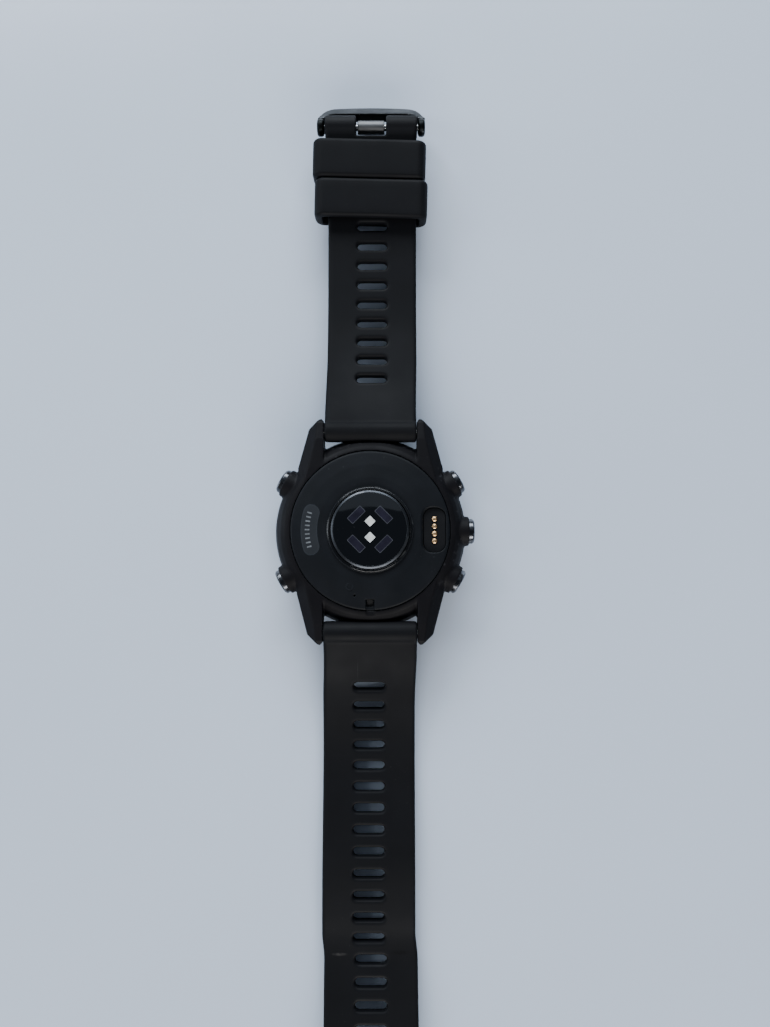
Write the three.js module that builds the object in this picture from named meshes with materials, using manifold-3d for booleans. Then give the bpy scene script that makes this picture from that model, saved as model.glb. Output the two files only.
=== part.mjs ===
// Wrist sports computer with a silicone strap, lying on its glass with both strap halves laid out flat.
// Millimetres. The origin is the centre of the display glass's outer face. +Z runs from the glass to the
// wrist side, +Y towards the buckle half of the strap and +X towards the case side that has three buttons.
import * as THREE from "three";
import { mergeVertices } from "three/addons/utils/BufferGeometryUtils.js";
import Module from "manifold-3d";

const wasm = await Module();
wasm.setup();

// ---------------------------------------------------------------- driving dimensions
const CASE_RADIUS = 23.25;
const REST_Z = -0.35; // the bezel's rim stands this far in front of the glass
const BEZEL_TOP_Z = 3.2;
const CASE_BOTTOM_Z = 3.3;
const CASE_RIM_Z = 11.6;
const CAVITY_RADIUS = 18.2;
const COVER_SHELF_Z = 10.2;
const COVER_RADIUS = 18.75;
const COVER_CROWN_Z = 12.6;
const LENS_RADIUS = 18.25;
const LENS_THICKNESS = 1.25;
const SENSOR_TOP_Z = 14.05;

const STRAP_WIDTH = 22.1;
const LUG_GAP = 22.4;
const PIN_Y = 24; // spring bar axis, either side of the case
const PIN_Z = 9.2;
const BARREL_RADIUS = 2.6;
const STRAP_THICKNESS = 2.6;
const SLOT_LENGTH = 7.5;
const SLOT_WIDTH = 2;
const SLOT_PITCH = 4.95;
const JOINT_GAP = 0.35; // between two lengths of one strap half

const BUTTON_AXIS_Z = 7;
const BUTTON_FACE = 24.9; // distance of a button's outer face from the case's axis
const BUTTON_RADIUS = 3;
const STEM_RADIUS = 0.8;
const BUTTONS = { light: 30, up: 0, down: -30, start: 150, back: 210 }; // degrees from +X

const BUCKLE_PIN_Y = 101.6;
const BUCKLE_PIN_Z = 9;
const BUCKLE_DROOP = -38; // degrees from level
const KEEPER_WIDTH = 28.2;
const KEEPER_HEIGHT = 8.4;
const KEEPER_LENGTH = 9.5;
const KEEPER_WALL = 1.5;
const KEEPER_SIDE_WALL = 2;
const KNUCKLE_RADIUS = 2.8;
const KNUCKLE_WIDTH = 23.1;
const TONGUE_WIDTH = 6.7;
const TONGUE_GAP = 7.5;

const rad = THREE.MathUtils.degToRad;

// ---------------------------------------------------------------- materials
const material = (color, roughness, metalness) => new THREE.MeshStandardMaterial({ color, roughness, metalness });
const MATERIALS = {
  casePolymer: material(0x17171a, 0.6, 0),
  bezelPolymer: material(0x222326, 0.45, 0),
  coverPolymer: material(0x1c2126, 0.55, 0),
  glossBlack: material(0x07080a, 0.12, 0),
  glass: material(0x14181c, 0.05, 0),
  silicone: material(0x15171a, 0.65, 0),
  darkSteel: material(0x5b6062, 0.35, 1),
  brightSteel: material(0x9a9c9e, 0.25, 1),
  gold: material(0xd8a24a, 0.3, 1),
  ledWhite: material(0xe9ebe8, 0.4, 0),
  photodiode: material(0x2b2a3d, 0.3, 0),
  circuitBoard: material(0x123a26, 0.5, 0),
  batteryFoil: material(0xa9adb0, 0.35, 0),
  seal: material(0x101113, 0.7, 0),
  displayFilm: material(0x2a2f2c, 0.4, 0),
};

// ---------------------------------------------------------------- solids and shapes
// A closed geometry as a solid, for joining and cutting.
function solid(geometry) {
  const bare = geometry.index ? geometry.toNonIndexed() : geometry.clone();
  bare.deleteAttribute("normal");
  bare.deleteAttribute("uv");
  const merged = mergeVertices(bare, 1e-4);
  const kept = [];
  const index = merged.index.array;
  for (let i = 0; i < index.length; i += 3) {
    const [a, b, c] = [index[i], index[i + 1], index[i + 2]];
    if (a !== b && b !== c && c !== a) kept.push(a, b, c);
  }
  const build = (corners) =>
    new wasm.Manifold(
      new wasm.Mesh({
        numProp: 3,
        vertProperties: new Float32Array(merged.attributes.position.array),
        triVerts: new Uint32Array(corners),
      }),
    );
  const made = build(kept);
  return made.volume() < 0 ? build(kept.reverse()) : made;
}

function geometryOf(made) {
  const mesh = made.getMesh();
  const geometry = new THREE.BufferGeometry();
  geometry.setAttribute("position", new THREE.BufferAttribute(new Float32Array(mesh.vertProperties), 3));
  geometry.setIndex(new THREE.BufferAttribute(new Uint32Array(mesh.triVerts), 1));
  geometry.computeVertexNormals();
  return geometry;
}

const join = (parts) => parts.reduce((whole, part) => whole.add(part));
const cut = (body, tools) => tools.reduce((left, tool) => left.subtract(tool), body);

// Turns a profile of [radius, height] points about +Z. A ring's profile closes on itself.
function turned(profile, segments) {
  const points = profile.map(([r, z]) => new THREE.Vector2(r, z));
  return new THREE.LatheGeometry(points, segments).rotateX(Math.PI / 2);
}

const ringProfile = (inner, outer, low, high) => [
  [inner, low],
  [outer, low],
  [outer, high],
  [inner, high],
  [inner, low],
];

const discProfile = (radius, low, high) => [
  [0, low],
  [radius, low],
  [radius, high],
  [0, high],
];

function outline(points) {
  return new THREE.Shape(points.map(([x, y]) => new THREE.Vector2(x, y)));
}

function raised(shape, low, high, curveSegments = 6) {
  const options = { depth: high - low, bevelEnabled: false, curveSegments };
  return new THREE.ExtrudeGeometry(shape, options).translate(0, 0, low);
}

// A profile of [y, z] points extruded across the object, from -halfWidth to +halfWidth in X.
function acrossX(points, halfWidth) {
  const options = { depth: 2 * halfWidth, bevelEnabled: false };
  const flat = new THREE.ExtrudeGeometry(outline(points), options);
  const turn = new THREE.Matrix4().set(0, 0, 1, -halfWidth, 1, 0, 0, 0, 0, 1, 0, 0, 0, 0, 0, 1);
  return flat.applyMatrix4(turn);
}

function roundedRectangle(width, height, radius) {
  const [w, h, r] = [width / 2, height / 2, radius];
  const shape = new THREE.Shape();
  shape.moveTo(-w + r, -h);
  shape.lineTo(w - r, -h);
  shape.absarc(w - r, -h + r, r, -Math.PI / 2, 0);
  shape.lineTo(w, h - r);
  shape.absarc(w - r, h - r, r, 0, Math.PI / 2);
  shape.lineTo(-w + r, h);
  shape.absarc(-w + r, h - r, r, Math.PI / 2, Math.PI);
  shape.lineTo(-w, -h + r);
  shape.absarc(-w + r, -h + r, r, Math.PI, 1.5 * Math.PI);
  return shape;
}

// A rod along X, from one X to another.
function rodX(radius, from, to, segments = 16) {
  return new THREE.CylinderGeometry(radius, radius, to - from, segments)
    .rotateZ(Math.PI / 2)
    .translate((from + to) / 2, 0, 0);
}

// Turns a profile of [radius, X] points about the X axis.
function turnedX(profile, segments) {
  return turned(profile, segments).rotateY(Math.PI / 2);
}

const part = new THREE.Group();
part.name = "wrist_sports_computer";

function mesh(name, geometry, look, parent = part) {
  const made = new THREE.Mesh(geometry, look);
  made.name = name;
  parent.add(made);
  return made;
}

// ---------------------------------------------------------------- front: bezel, glass and display
const LENS_POCKET_RADIUS = LENS_RADIUS + 0.1;
const LENS_SHELF_Z = 1.7;
const DISPLAY_BORE_RADIUS = 17;

function bezel() {
  return turned(
    [
      [DISPLAY_BORE_RADIUS, BEZEL_TOP_Z],
      [DISPLAY_BORE_RADIUS, LENS_SHELF_Z],
      [LENS_POCKET_RADIUS, LENS_SHELF_Z],
      [LENS_POCKET_RADIUS, 0.1],
      [LENS_POCKET_RADIUS + 0.5, REST_Z],
      [CASE_RADIUS - 1.2, REST_Z],
      [CASE_RADIUS - 0.2, 0.5],
      [CASE_RADIUS, 1.2],
      [CASE_RADIUS, BEZEL_TOP_Z - 0.3],
      [CASE_RADIUS - 0.3, BEZEL_TOP_Z],
      [DISPLAY_BORE_RADIUS, BEZEL_TOP_Z],
    ],
    48,
  );
}

function lens() {
  return turned(
    [
      [0, 0],
      [LENS_RADIUS - 0.3, 0],
      [LENS_RADIUS, 0.3],
      [LENS_RADIUS, LENS_THICKNESS],
      [0, LENS_THICKNESS],
    ],
    36,
  );
}

mesh("bezel", bezel(), MATERIALS.bezelPolymer);
mesh("lens", lens(), MATERIALS.glass);
const gasketLow = LENS_THICKNESS + 0.05;
mesh("lens_gasket", turned(ringProfile(17.1, 18.15, gasketLow, LENS_SHELF_Z - 0.05), 32), MATERIALS.seal);
mesh("display_panel", turned(discProfile(16.8, 1.35, 2.9), 32), MATERIALS.displayFilm);

// ---------------------------------------------------------------- middle case with its lugs and button bosses
const LUG_INNER_X = LUG_GAP / 2;
const LUG_OUTER_X = 14.9;
const LUG_TIP_Y = 27;
const BOSS_RADIUS = 3.55;
const BOSS_FACE = 23.8;
const CAP_INNER_FACE = BUTTON_FACE - 1.35;
const BUTTON_TRAVEL = 0.6;
const TIP_HOLE_RADIUS = 0.65;
const TIP_HOLE_DEPTH = 1.5;

// A lug for x > 0, y > 0: its plan, cut to its side view, with the outer top edge taken off at a slant.
function lug() {
  const plan = outline([
    [LUG_INNER_X, 10],
    [17, 10],
    [17.5, 14.9],
    [LUG_OUTER_X, 24.6],
    [12.3, 26.9],
    [11.8, LUG_TIP_Y],
    [LUG_INNER_X, 26.3],
  ]);
  const side = [
    [8, 4],
    [18, 4.2],
    [22.5, 5.4],
    [25.8, 7],
    [27.2, 8.5],
    [27.2, 9.9],
    [26, 10.8],
    [22, 11.4],
    [15, CASE_RIM_Z],
    [8, CASE_RIM_Z],
  ];
  const blank = solid(raised(plan, 2, 14)).intersect(solid(acrossX(side, 20)));
  const slant = new THREE.BoxGeometry(6, 40, 12)
    .translate(3, 0, 0)
    .rotateY(rad(-48))
    .rotateZ(rad(15))
    .translate(LUG_OUTER_X - 2, 24, 11.1);
  return geometryOf(blank.subtract(solid(slant)));
}

function mirrored(geometry, sx, sy) {
  return geometry.clone().scale(sx, sy, 1);
}

// Moves a shape made along +X to a button's place round the case.
function atButton(geometry, degrees) {
  return geometry.rotateZ(rad(degrees)).translate(0, 0, BUTTON_AXIS_Z);
}

function middleCase() {
  const body = turned(
    [
      [CAVITY_RADIUS, CASE_BOTTOM_Z],
      [22.85, CASE_BOTTOM_Z],
      [23.1, 4.2],
      [22.95, 6.5],
      [22.35, 8.6],
      [21.3, 10.3],
      [20.2, 11.3],
      [19.4, CASE_RIM_Z],
      [COVER_RADIUS + 0.2, CASE_RIM_Z],
      [COVER_RADIUS + 0.2, COVER_SHELF_Z],
      [CAVITY_RADIUS, COVER_SHELF_Z],
      [CAVITY_RADIUS, CASE_BOTTOM_Z],
    ],
    48,
  );
  const lugs = [
    [1, 1],
    [-1, 1],
    [1, -1],
    [-1, -1],
  ].map(([sx, sy]) => solid(mirrored(lug(), sx, sy)));
  const angles = Object.values(BUTTONS);
  const bosses = angles.map((a) => solid(atButton(rodX(BOSS_RADIUS, 18.5, BOSS_FACE, 20), a)));
  const hollow = solid(turned(discProfile(CAVITY_RADIUS, 0, COVER_SHELF_Z), 48));
  const seat = solid(turned(discProfile(COVER_RADIUS + 0.2, COVER_SHELF_Z, 20), 48));
  const strapChannels = [1, -1].map((side) =>
    solid(rodX(3, -LUG_INNER_X, LUG_INNER_X, 20).translate(0, side * PIN_Y, PIN_Z)),
  );
  const tipReach = LUG_INNER_X + TIP_HOLE_DEPTH;
  const tipHoles = [1, -1].map((side) =>
    solid(rodX(TIP_HOLE_RADIUS, -tipReach, tipReach, 12).translate(0, side * PIN_Y, PIN_Z)),
  );
  const buttonBores = angles.flatMap((a) => [
    solid(atButton(rodX(STEM_RADIUS + 0.15, 15, 26, 12), a)),
    solid(atButton(rodX(1.75, 20.9, 21.9, 12), a)),
    solid(atButton(rodX(BUTTON_RADIUS + 0.2, CAP_INNER_FACE - BUTTON_TRAVEL - 0.1, 26, 20), a)),
  ]);
  const ventNotch = solid(new THREE.BoxGeometry(2.1, 4.1, 3).translate(0, -18.35, 12.8));
  const cuts = [hollow, seat, ...strapChannels, ...tipHoles, ...buttonBores, ventNotch];
  return geometryOf(cut(join([solid(body), ...lugs, ...bosses]), cuts));
}

mesh("mid_case", middleCase(), MATERIALS.casePolymer);

// ---------------------------------------------------------------- back cover, its seal, contacts and vent
const SOCKET_X = 15.2;
const SOCKET_FLOOR_Z = 11;
const CONTACT_PITCH = 1.73;
const CONTACT_RADIUS = 0.65;
const SENSOR_BORE_RADIUS = 9.6;
const VENT_Y = -17.1;

const contactPlaces = [1.5, 0.5, -0.5, -1.5].map((n) => n * CONTACT_PITCH);

function backCover() {
  const disc = turned(
    [
      [SENSOR_BORE_RADIUS, 10.6],
      [COVER_RADIUS, 10.6],
      [COVER_RADIUS, 11.75],
      [COVER_RADIUS - 0.3, 12.05],
      [15.5, 12.4],
      [12.5, COVER_CROWN_Z],
      [SENSOR_BORE_RADIUS, COVER_CROWN_Z],
      [SENSOR_BORE_RADIUS, 10.6],
    ],
    48,
  );
  const socket = raised(roundedRectangle(5.4, 10.6, 2.3), SOCKET_FLOOR_Z, 14).translate(SOCKET_X, 0, 0);
  const pinHoles = contactPlaces.map((y) =>
    new THREE.CylinderGeometry(CONTACT_RADIUS + 0.12, CONTACT_RADIUS + 0.12, 6, 10)
      .rotateX(Math.PI / 2)
      .translate(SOCKET_X, y, 11),
  );
  const ventNotch = new THREE.BoxGeometry(2.1, 4.1, 3).translate(0, -18.35, 12.8);
  const ventHole = new THREE.BoxGeometry(1.6, 1.8, 6).translate(0, VENT_Y, 11);
  const pressureHole = new THREE.CylinderGeometry(0.25, 0.25, 2, 8).rotateX(Math.PI / 2).translate(-3.6, -15.4, 12.4);
  return geometryOf(cut(solid(disc), [socket, ...pinHoles, ventNotch, ventHole, pressureHole].map(solid)));
}

function contactInsert() {
  const block = raised(roundedRectangle(5.1, 10.3, 2.15), SOCKET_FLOOR_Z + 0.05, 11.55).translate(SOCKET_X, 0, 0);
  const holes = contactPlaces.map((y) =>
    new THREE.CylinderGeometry(CONTACT_RADIUS + 0.12, CONTACT_RADIUS + 0.12, 4, 10)
      .rotateX(Math.PI / 2)
      .translate(SOCKET_X, y, 11),
  );
  return geometryOf(cut(solid(block), holes.map(solid)));
}

const chargePin = () =>
  turned(
    [
      [0, 9.9],
      [CONTACT_RADIUS, 9.9],
      [CONTACT_RADIUS, 11.7],
      [CONTACT_RADIUS * 0.7, 11.9],
      [0, 11.95],
    ],
    10,
  );

mesh("back_cover", backCover(), MATERIALS.coverPolymer);
mesh("back_gasket", turned(ringProfile(18.3, 18.85, COVER_SHELF_Z + 0.05, 10.55), 36), MATERIALS.seal);
mesh("contact_insert", contactInsert(), MATERIALS.casePolymer);
contactPlaces.forEach((y, i) => {
  mesh(`charge_pin_${i + 1}`, chargePin(), MATERIALS.gold).position.set(SOCKET_X, y, 0);
});
mesh("vent_membrane", new THREE.BoxGeometry(1.4, 1.6, 0.25), MATERIALS.seal).position.set(0, VENT_Y, 10.8);

// ---------------------------------------------------------------- optical sensor
const WINDOW_RADIUS = 9.25;
const LED_SIZE = 1.85;
const LED_Y = 1.88;
const DIODE_SIZE = [4.1, 1.7];
const DIODE_PLACE = [3.2, 3.4];

function sensorRing() {
  return turned(
    [
      [8.5, 12.3],
      [8.5, 11.8],
      [9.5, 11.8],
      [9.5, COVER_CROWN_Z + 0.05],
      [10.25, COVER_CROWN_Z + 0.05],
      [10.25, 12.9],
      [9.9, 13.3],
      [9.4, 13.35],
      [9.35, 12.3],
      [8.5, 12.3],
    ],
    40,
  );
}

function sensorWindow() {
  return turned(
    [
      [0, 12.35],
      [WINDOW_RADIUS, 12.35],
      [WINDOW_RADIUS, 13.3],
      [8.6, 13.65],
      [6.5, 13.9],
      [3.5, SENSOR_TOP_Z],
      [0, SENSOR_TOP_Z],
    ],
    36,
  );
}

mesh("sensor_ring", sensorRing(), MATERIALS.glossBlack);
mesh("sensor_window", sensorWindow(), MATERIALS.glass);
mesh("sensor_board", turned(discProfile(8, 10.6, 11.2), 24), MATERIALS.circuitBoard);
for (const [name, side] of [["upper", 1], ["lower", -1]]) {
  const led = mesh(`sensor_led_${name}`, new THREE.BoxGeometry(LED_SIZE, LED_SIZE, 0.9), MATERIALS.ledWhite);
  led.position.set(0, side * LED_Y, 11.75);
  led.rotation.z = Math.PI / 4;
}
[[-1, 1], [1, 1], [-1, -1], [1, -1]].forEach(([sx, sy], i) => {
  const diode = mesh(`photodiode_${i + 1}`, new THREE.BoxGeometry(...DIODE_SIZE, 0.8), MATERIALS.photodiode);
  diode.position.set(sx * DIODE_PLACE[0], sy * DIODE_PLACE[1], 11.7);
  diode.rotation.z = (-sx * sy * Math.PI) / 4;
});

// ---------------------------------------------------------------- what the case holds
function mainBoard() {
  const board = solid(turned(discProfile(14.6, 3.6, 4.4), 28));
  const chips = [
    [-5, 7, 7, 5],
    [6, 8, 4, 4],
    [9, -6, 3, 5],
    [-9, -6, 4, 3],
  ].map(([x, y, w, d]) => solid(new THREE.BoxGeometry(w, d, 0.7).translate(x, y, 4.7)));
  return geometryOf(join([board, ...chips]));
}

function switchRing() {
  const strip = solid(turned(ringProfile(15.1, 15.5, 4.9, 9), 32));
  const domes = Object.values(BUTTONS).map((a) => solid(atButton(rodX(1.2, 15.3, 16.3, 10), a)));
  return geometryOf(join([strip, ...domes]));
}

mesh("main_board", mainBoard(), MATERIALS.circuitBoard);
mesh("switch_ring", switchRing(), MATERIALS.circuitBoard);
mesh("battery", raised(roundedRectangle(21, 14, 2), 5.4, 9.4, 3), MATERIALS.batteryFoil).position.y = -2;
mesh("vibration_motor", turned(discProfile(4, 5.4, 8.1), 20), MATERIALS.brightSteel).position.y = 10.3;

// ---------------------------------------------------------------- push buttons
const CLIP_X = 17.4;

function button() {
  return turnedX(
    [
      [0, 17.1],
      [STEM_RADIUS, 17.1],
      [STEM_RADIUS, CLIP_X],
      [0.5, CLIP_X],
      [0.5, CLIP_X + 0.4],
      [STEM_RADIUS, CLIP_X + 0.4],
      [STEM_RADIUS, CAP_INNER_FACE],
      [BUTTON_RADIUS, CAP_INNER_FACE],
      [BUTTON_RADIUS, BUTTON_FACE - 0.4],
      [BUTTON_RADIUS - 0.35, BUTTON_FACE],
      [0, BUTTON_FACE],
    ],
    18,
  );
}

// A clip open on one side, which snaps into the stem's groove inside the case.
function retainingClip() {
  const opening = rad(35);
  const shape = new THREE.Shape();
  shape.absarc(0, 0, 1.5, opening, 2 * Math.PI - opening, false);
  shape.absarc(0, 0, 0.6, 2 * Math.PI - opening, opening, true);
  shape.closePath();
  return raised(shape, 0.05, 0.35, 5).rotateY(Math.PI / 2).translate(CLIP_X, 0, 0);
}

for (const [name, degrees] of Object.entries(BUTTONS)) {
  const place = new THREE.Group();
  place.rotation.z = rad(degrees);
  place.position.z = BUTTON_AXIS_Z;
  part.add(place);
  mesh(`button_${name}`, button(), MATERIALS.darkSteel, place);
  mesh(`button_clip_${name}`, retainingClip(), MATERIALS.brightSteel, place);
  const seal = new THREE.TorusGeometry(1.3, 0.33, 5, 12).rotateY(Math.PI / 2);
  mesh(`button_seal_${name}`, seal, MATERIALS.seal, place).position.x = 21.4;
}

// ---------------------------------------------------------------- spring bars in the lugs
const BAR_RADIUS = 0.9;
const BAR_HALF_LENGTH = 9.3;
const TIP_END = 12.3;

function springBarTube() {
  const h = BAR_HALF_LENGTH;
  return turnedX([[0.6, -h], [BAR_RADIUS, -h], [BAR_RADIUS, h], [0.6, h], [0.6, -h]], 12);
}

// The +X tip: a rod inside the tube, a shoulder to push it by and the nose that enters the lug.
function springBarTip() {
  return turnedX(
    [
      [0, 6.5],
      [0.5, 6.5],
      [0.5, 10.6],
      [0.85, 10.6],
      [0.85, 10.9],
      [0.5, 10.9],
      [0.5, TIP_END - 0.2],
      [0.3, TIP_END],
      [0, TIP_END],
    ],
    12,
  );
}

for (const [end, side] of [["buckle_side", 1], ["tail_side", -1]]) {
  const place = new THREE.Group();
  place.position.set(0, side * PIN_Y, PIN_Z);
  part.add(place);
  mesh(`spring_bar_${end}`, springBarTube(), MATERIALS.brightSteel, place);
  mesh(`spring_bar_tip_${end}_right`, springBarTip(), MATERIALS.brightSteel, place);
  mesh(`spring_bar_tip_${end}_left`, springBarTip(), MATERIALS.brightSteel, place).rotation.z = Math.PI;
}

// ---------------------------------------------------------------- strap halves
// Middle line of each strap half as [distance from the case's centre, height] points, from its spring bar.
const STRAIGHT_FROM = [77, 6.1]; // the buckle half runs straight from here to the buckle pin
const BUCKLE_LINE = [
  [PIN_Y, PIN_Z],
  [30, 8.1],
  [37, 6.7],
  [44, 5.6],
  [51, 4.9],
  [57, 4.8],
  [64, 5.1],
  [70, 5.5],
  STRAIGHT_FROM,
];
const TAIL_LINE = [
  [PIN_Y, PIN_Z],
  [30, 7.1],
  [36.5, 4.6],
  [43, 2.8],
  [50, 1.6],
  [57, 1.2],
  [64, 1.5],
  [72, 2.1],
  [81, 2.5],
  [90, 2.1],
  [96, 1.5],
  [100, 1.6],
  [106, 2.4],
  [114, 3.6],
  [124, 5.3],
  [136.8, 8],
];
const straightRise = (BUCKLE_PIN_Z - STRAIGHT_FROM[1]) / (BUCKLE_PIN_Y - STRAIGHT_FROM[0]);
const straightZ = (y) => STRAIGHT_FROM[1] + (y - STRAIGHT_FROM[0]) * straightRise;

// A smooth line through the points, with its place and direction at any distance along it.
class StrapLine {
  constructor(points) {
    this.curve = new THREE.CatmullRomCurve3(
      points.map(([y, z]) => new THREE.Vector3(0, y, z)),
      false,
      "centripetal",
    );
    this.curve.arcLengthDivisions = 800;
    this.length = this.curve.getLength();
  }
  at(distance) {
    const u = THREE.MathUtils.clamp(distance / this.length, 0, 1);
    const place = this.curve.getPointAt(u);
    const along = this.curve.getTangentAt(u);
    return { y: place.y, z: place.z, dy: along.y, dz: along.z };
  }
}

const buckleLine = new StrapLine([...BUCKLE_LINE, [89, straightZ(89)], [BUCKLE_PIN_Y, BUCKLE_PIN_Z]]);
const tailLine = new StrapLine(TAIL_LINE);

// Half the strap's thickness: thick where it leaves the spring bar, then even.
function halfThickness(distance) {
  const near = THREE.MathUtils.clamp(1 - distance / 14, 0, 1);
  return STRAP_THICKNESS / 2 + 0.75 * near * near;
}

// The strap's side view between two distances along its line, as [y, z] points.
function sideView(line, from, to, step = 3.4) {
  const count = Math.max(2, Math.ceil((to - from) / step));
  const places = Array.from({ length: count + 1 }, (_, i) => from + ((to - from) * i) / count);
  const edge = (sign) =>
    places.map((s) => {
      const p = line.at(s);
      const h = sign * halfThickness(s);
      return [p.y - p.dz * h, p.z + p.dy * h];
    });
  return [...edge(-1), ...edge(1).reverse()];
}

// A stadium-shaped cutter across the strap, square to its line at a distance along it.
function slotCutter(line, distance) {
  const p = line.at(distance);
  const half = (SLOT_LENGTH - SLOT_WIDTH) / 2;
  const shape = new THREE.Shape();
  shape.absarc(half, 0, SLOT_WIDTH / 2, -Math.PI / 2, Math.PI / 2, false);
  shape.absarc(-half, 0, SLOT_WIDTH / 2, Math.PI / 2, 1.5 * Math.PI, false);
  shape.closePath();
  return solid(raised(shape, -4, 4, 3).rotateX(Math.atan2(p.dz, p.dy)).translate(0, p.y, p.z));
}

const BARREL_BORE = 1;
const HALF_STRAP = STRAP_WIDTH / 2;

// The length of strap that turns on the spring bar, with the heel that stops it against the case.
function strapRoot(line, to) {
  const body = solid(acrossX(sideView(line, 0.5, to), HALF_STRAP));
  const barrel = solid(rodX(BARREL_RADIUS, -HALF_STRAP, HALF_STRAP, 20).translate(0, PIN_Y, PIN_Z));
  const heel = solid(
    acrossX(
      [
        [23.25, 5.3],
        [27, 4.9],
        [29, 6.4],
        [25, 8],
        [23.25, 7],
      ],
      HALF_STRAP,
    ),
  );
  const bore = solid(rodX(BARREL_BORE, -12, 12, 12).translate(0, PIN_Y, PIN_Z));
  return join([body, barrel, heel]).subtract(bore);
}

const strapLength = (line, from, to) => solid(acrossX(sideView(line, from, to), HALF_STRAP));

function slotted(body, line, slots, from, to) {
  return cut(
    body,
    slots.filter((s) => s > from && s < to).map((s) => slotCutter(line, s)),
  );
}

// Cuts one strap half into lengths at the given distances and adds each as its own mesh.
function strapHalf(name, line, first, slots, joints, lastLength, facing) {
  const place = new THREE.Group();
  place.scale.y = facing;
  part.add(place);
  const ends = [0, ...joints, line.length];
  for (let i = 0; i + 1 < ends.length; i += 1) {
    const from = i ? ends[i] + JOINT_GAP / 2 : 0;
    const to = i + 2 < ends.length ? ends[i + 1] - JOINT_GAP / 2 : ends[i + 1];
    let body = i ? strapLength(line, from, to) : first(line, to);
    if (i + 2 === ends.length) body = lastLength(body);
    mesh(`${name}_${i + 1}`, geometryOf(slotted(body, line, slots, from, to)), MATERIALS.silicone, place);
  }
}

// The buckle half ends in two knuckles round the buckle pin, with a gap for the tongue between them.
function withKnuckles(body) {
  const half = KNUCKLE_WIDTH / 2;
  const barrel = solid(rodX(KNUCKLE_RADIUS, -half, half, 20));
  const flare = solid(
    acrossX(
      [
        [-8.5, -STRAP_THICKNESS / 2],
        [0, -KNUCKLE_RADIUS + 0.1],
        [0, KNUCKLE_RADIUS - 0.1],
        [-8.5, STRAP_THICKNESS / 2],
      ],
      half,
    ).rotateX(Math.atan(straightRise)),
  );
  const bore = solid(rodX(0.95, -13, 13, 12));
  const gap = solid(new THREE.BoxGeometry(TONGUE_GAP, 7, 8).translate(0, 0.5, 0));
  const toPin = (made) => made.translate([0, BUCKLE_PIN_Y, BUCKLE_PIN_Z]);
  return cut(join([body, toPin(barrel), toPin(flare)]), [toPin(bore), toPin(gap)]);
}

// The tail half ends in a round tip.
function withRoundTip(body) {
  const end = tailLine.at(tailLine.length).y;
  const shape = new THREE.Shape();
  shape.moveTo(-HALF_STRAP, 60);
  shape.lineTo(HALF_STRAP, 60);
  shape.lineTo(HALF_STRAP, end - 8.5);
  shape.bezierCurveTo(HALF_STRAP, end - 2, 7, end, 0, end);
  shape.bezierCurveTo(-7, end, -HALF_STRAP, end - 2, -HALF_STRAP, end - 8.5);
  return body.intersect(solid(raised(shape, -5, 20, 8)));
}

const FIRST_SLOT = 13.6;
const row = (count) => Array.from({ length: count }, (_, i) => FIRST_SLOT + i * SLOT_PITCH);
const betweenSlots = (n) => FIRST_SLOT + (n - 0.5) * SLOT_PITCH;

strapHalf("strap_buckle", buckleLine, strapRoot, row(11), [2, 6].map(betweenSlots), withKnuckles, 1);
strapHalf("strap_tail", tailLine, strapRoot, row(20), [2, 6, 10, 15].map(betweenSlots), withRoundTip, -1);

// ---------------------------------------------------------------- keeper loops on the buckle half
function keeper() {
  const shape = roundedRectangle(KEEPER_WIDTH, KEEPER_HEIGHT, 2.4);
  const inner = [KEEPER_WIDTH - 2 * KEEPER_SIDE_WALL, KEEPER_HEIGHT - 2 * KEEPER_WALL];
  const hole = roundedRectangle(...inner, 1);
  shape.holes.push(new THREE.Path(hole.getPoints(3)));
  const half = KEEPER_LENGTH / 2;
  return raised(shape, -half, half, 4).rotateX(Math.PI / 2);
}

for (const [name, x, y, skew] of [["outer", -0.4, 92.65, -1.4], ["inner", 0, 83, -1.4]]) {
  const place = new THREE.Group();
  place.position.set(x, y, straightZ(y));
  place.rotation.x = Math.atan(straightRise);
  part.add(place);
  mesh(`keeper_${name}`, keeper(), MATERIALS.silicone, place).rotation.z = rad(skew);
}

// ---------------------------------------------------------------- buckle: frame, tongue and pin
// Made with the pin along X through the origin and the frame lying along +Y.
const FRAME_INNER_X = 11.75;
const FRAME_OUTER_X = 13.55;
const FRAME_REACH = 10.6;

function buckleFrame() {
  const plan = new THREE.Shape();
  plan.moveTo(-FRAME_OUTER_X, -2.1);
  plan.lineTo(-FRAME_INNER_X, -2.1);
  plan.lineTo(-FRAME_INNER_X, 3.2);
  plan.bezierCurveTo(-10.7, 5, -10.4, 5.9, -8.8, 6);
  plan.quadraticCurveTo(0, 6.4, 8.8, 6);
  plan.bezierCurveTo(10.4, 5.9, 10.7, 5, FRAME_INNER_X, 3.2);
  plan.lineTo(FRAME_INNER_X, -2.1);
  plan.lineTo(FRAME_OUTER_X, -2.1);
  plan.lineTo(FRAME_OUTER_X, 2.6);
  plan.bezierCurveTo(12.6, 6.6, 12.4, 9.4, 8.5, 10);
  plan.quadraticCurveTo(0, 2 * FRAME_REACH - 10, -8.5, 10);
  plan.bezierCurveTo(-12.4, 9.4, -12.6, 6.6, -FRAME_OUTER_X, 2.6);
  const side = [
    [-2.1, -0.9],
    [-0.9, -2.1],
    [0.9, -2.1],
    [2.4, -1.2],
    [7, -0.7],
    [11.8, -0.7],
    [11.8, 0.9],
    [7, 1.3],
    [3, 1.5],
    [0.9, 2.1],
    [-0.9, 2.1],
    [-2.1, 0.9],
  ];
  const blank = solid(raised(plan, -3, 3, 8)).intersect(solid(acrossX(side, 15)));
  return geometryOf(blank.subtract(solid(rodX(0.95, -15, 15, 16))));
}

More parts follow.
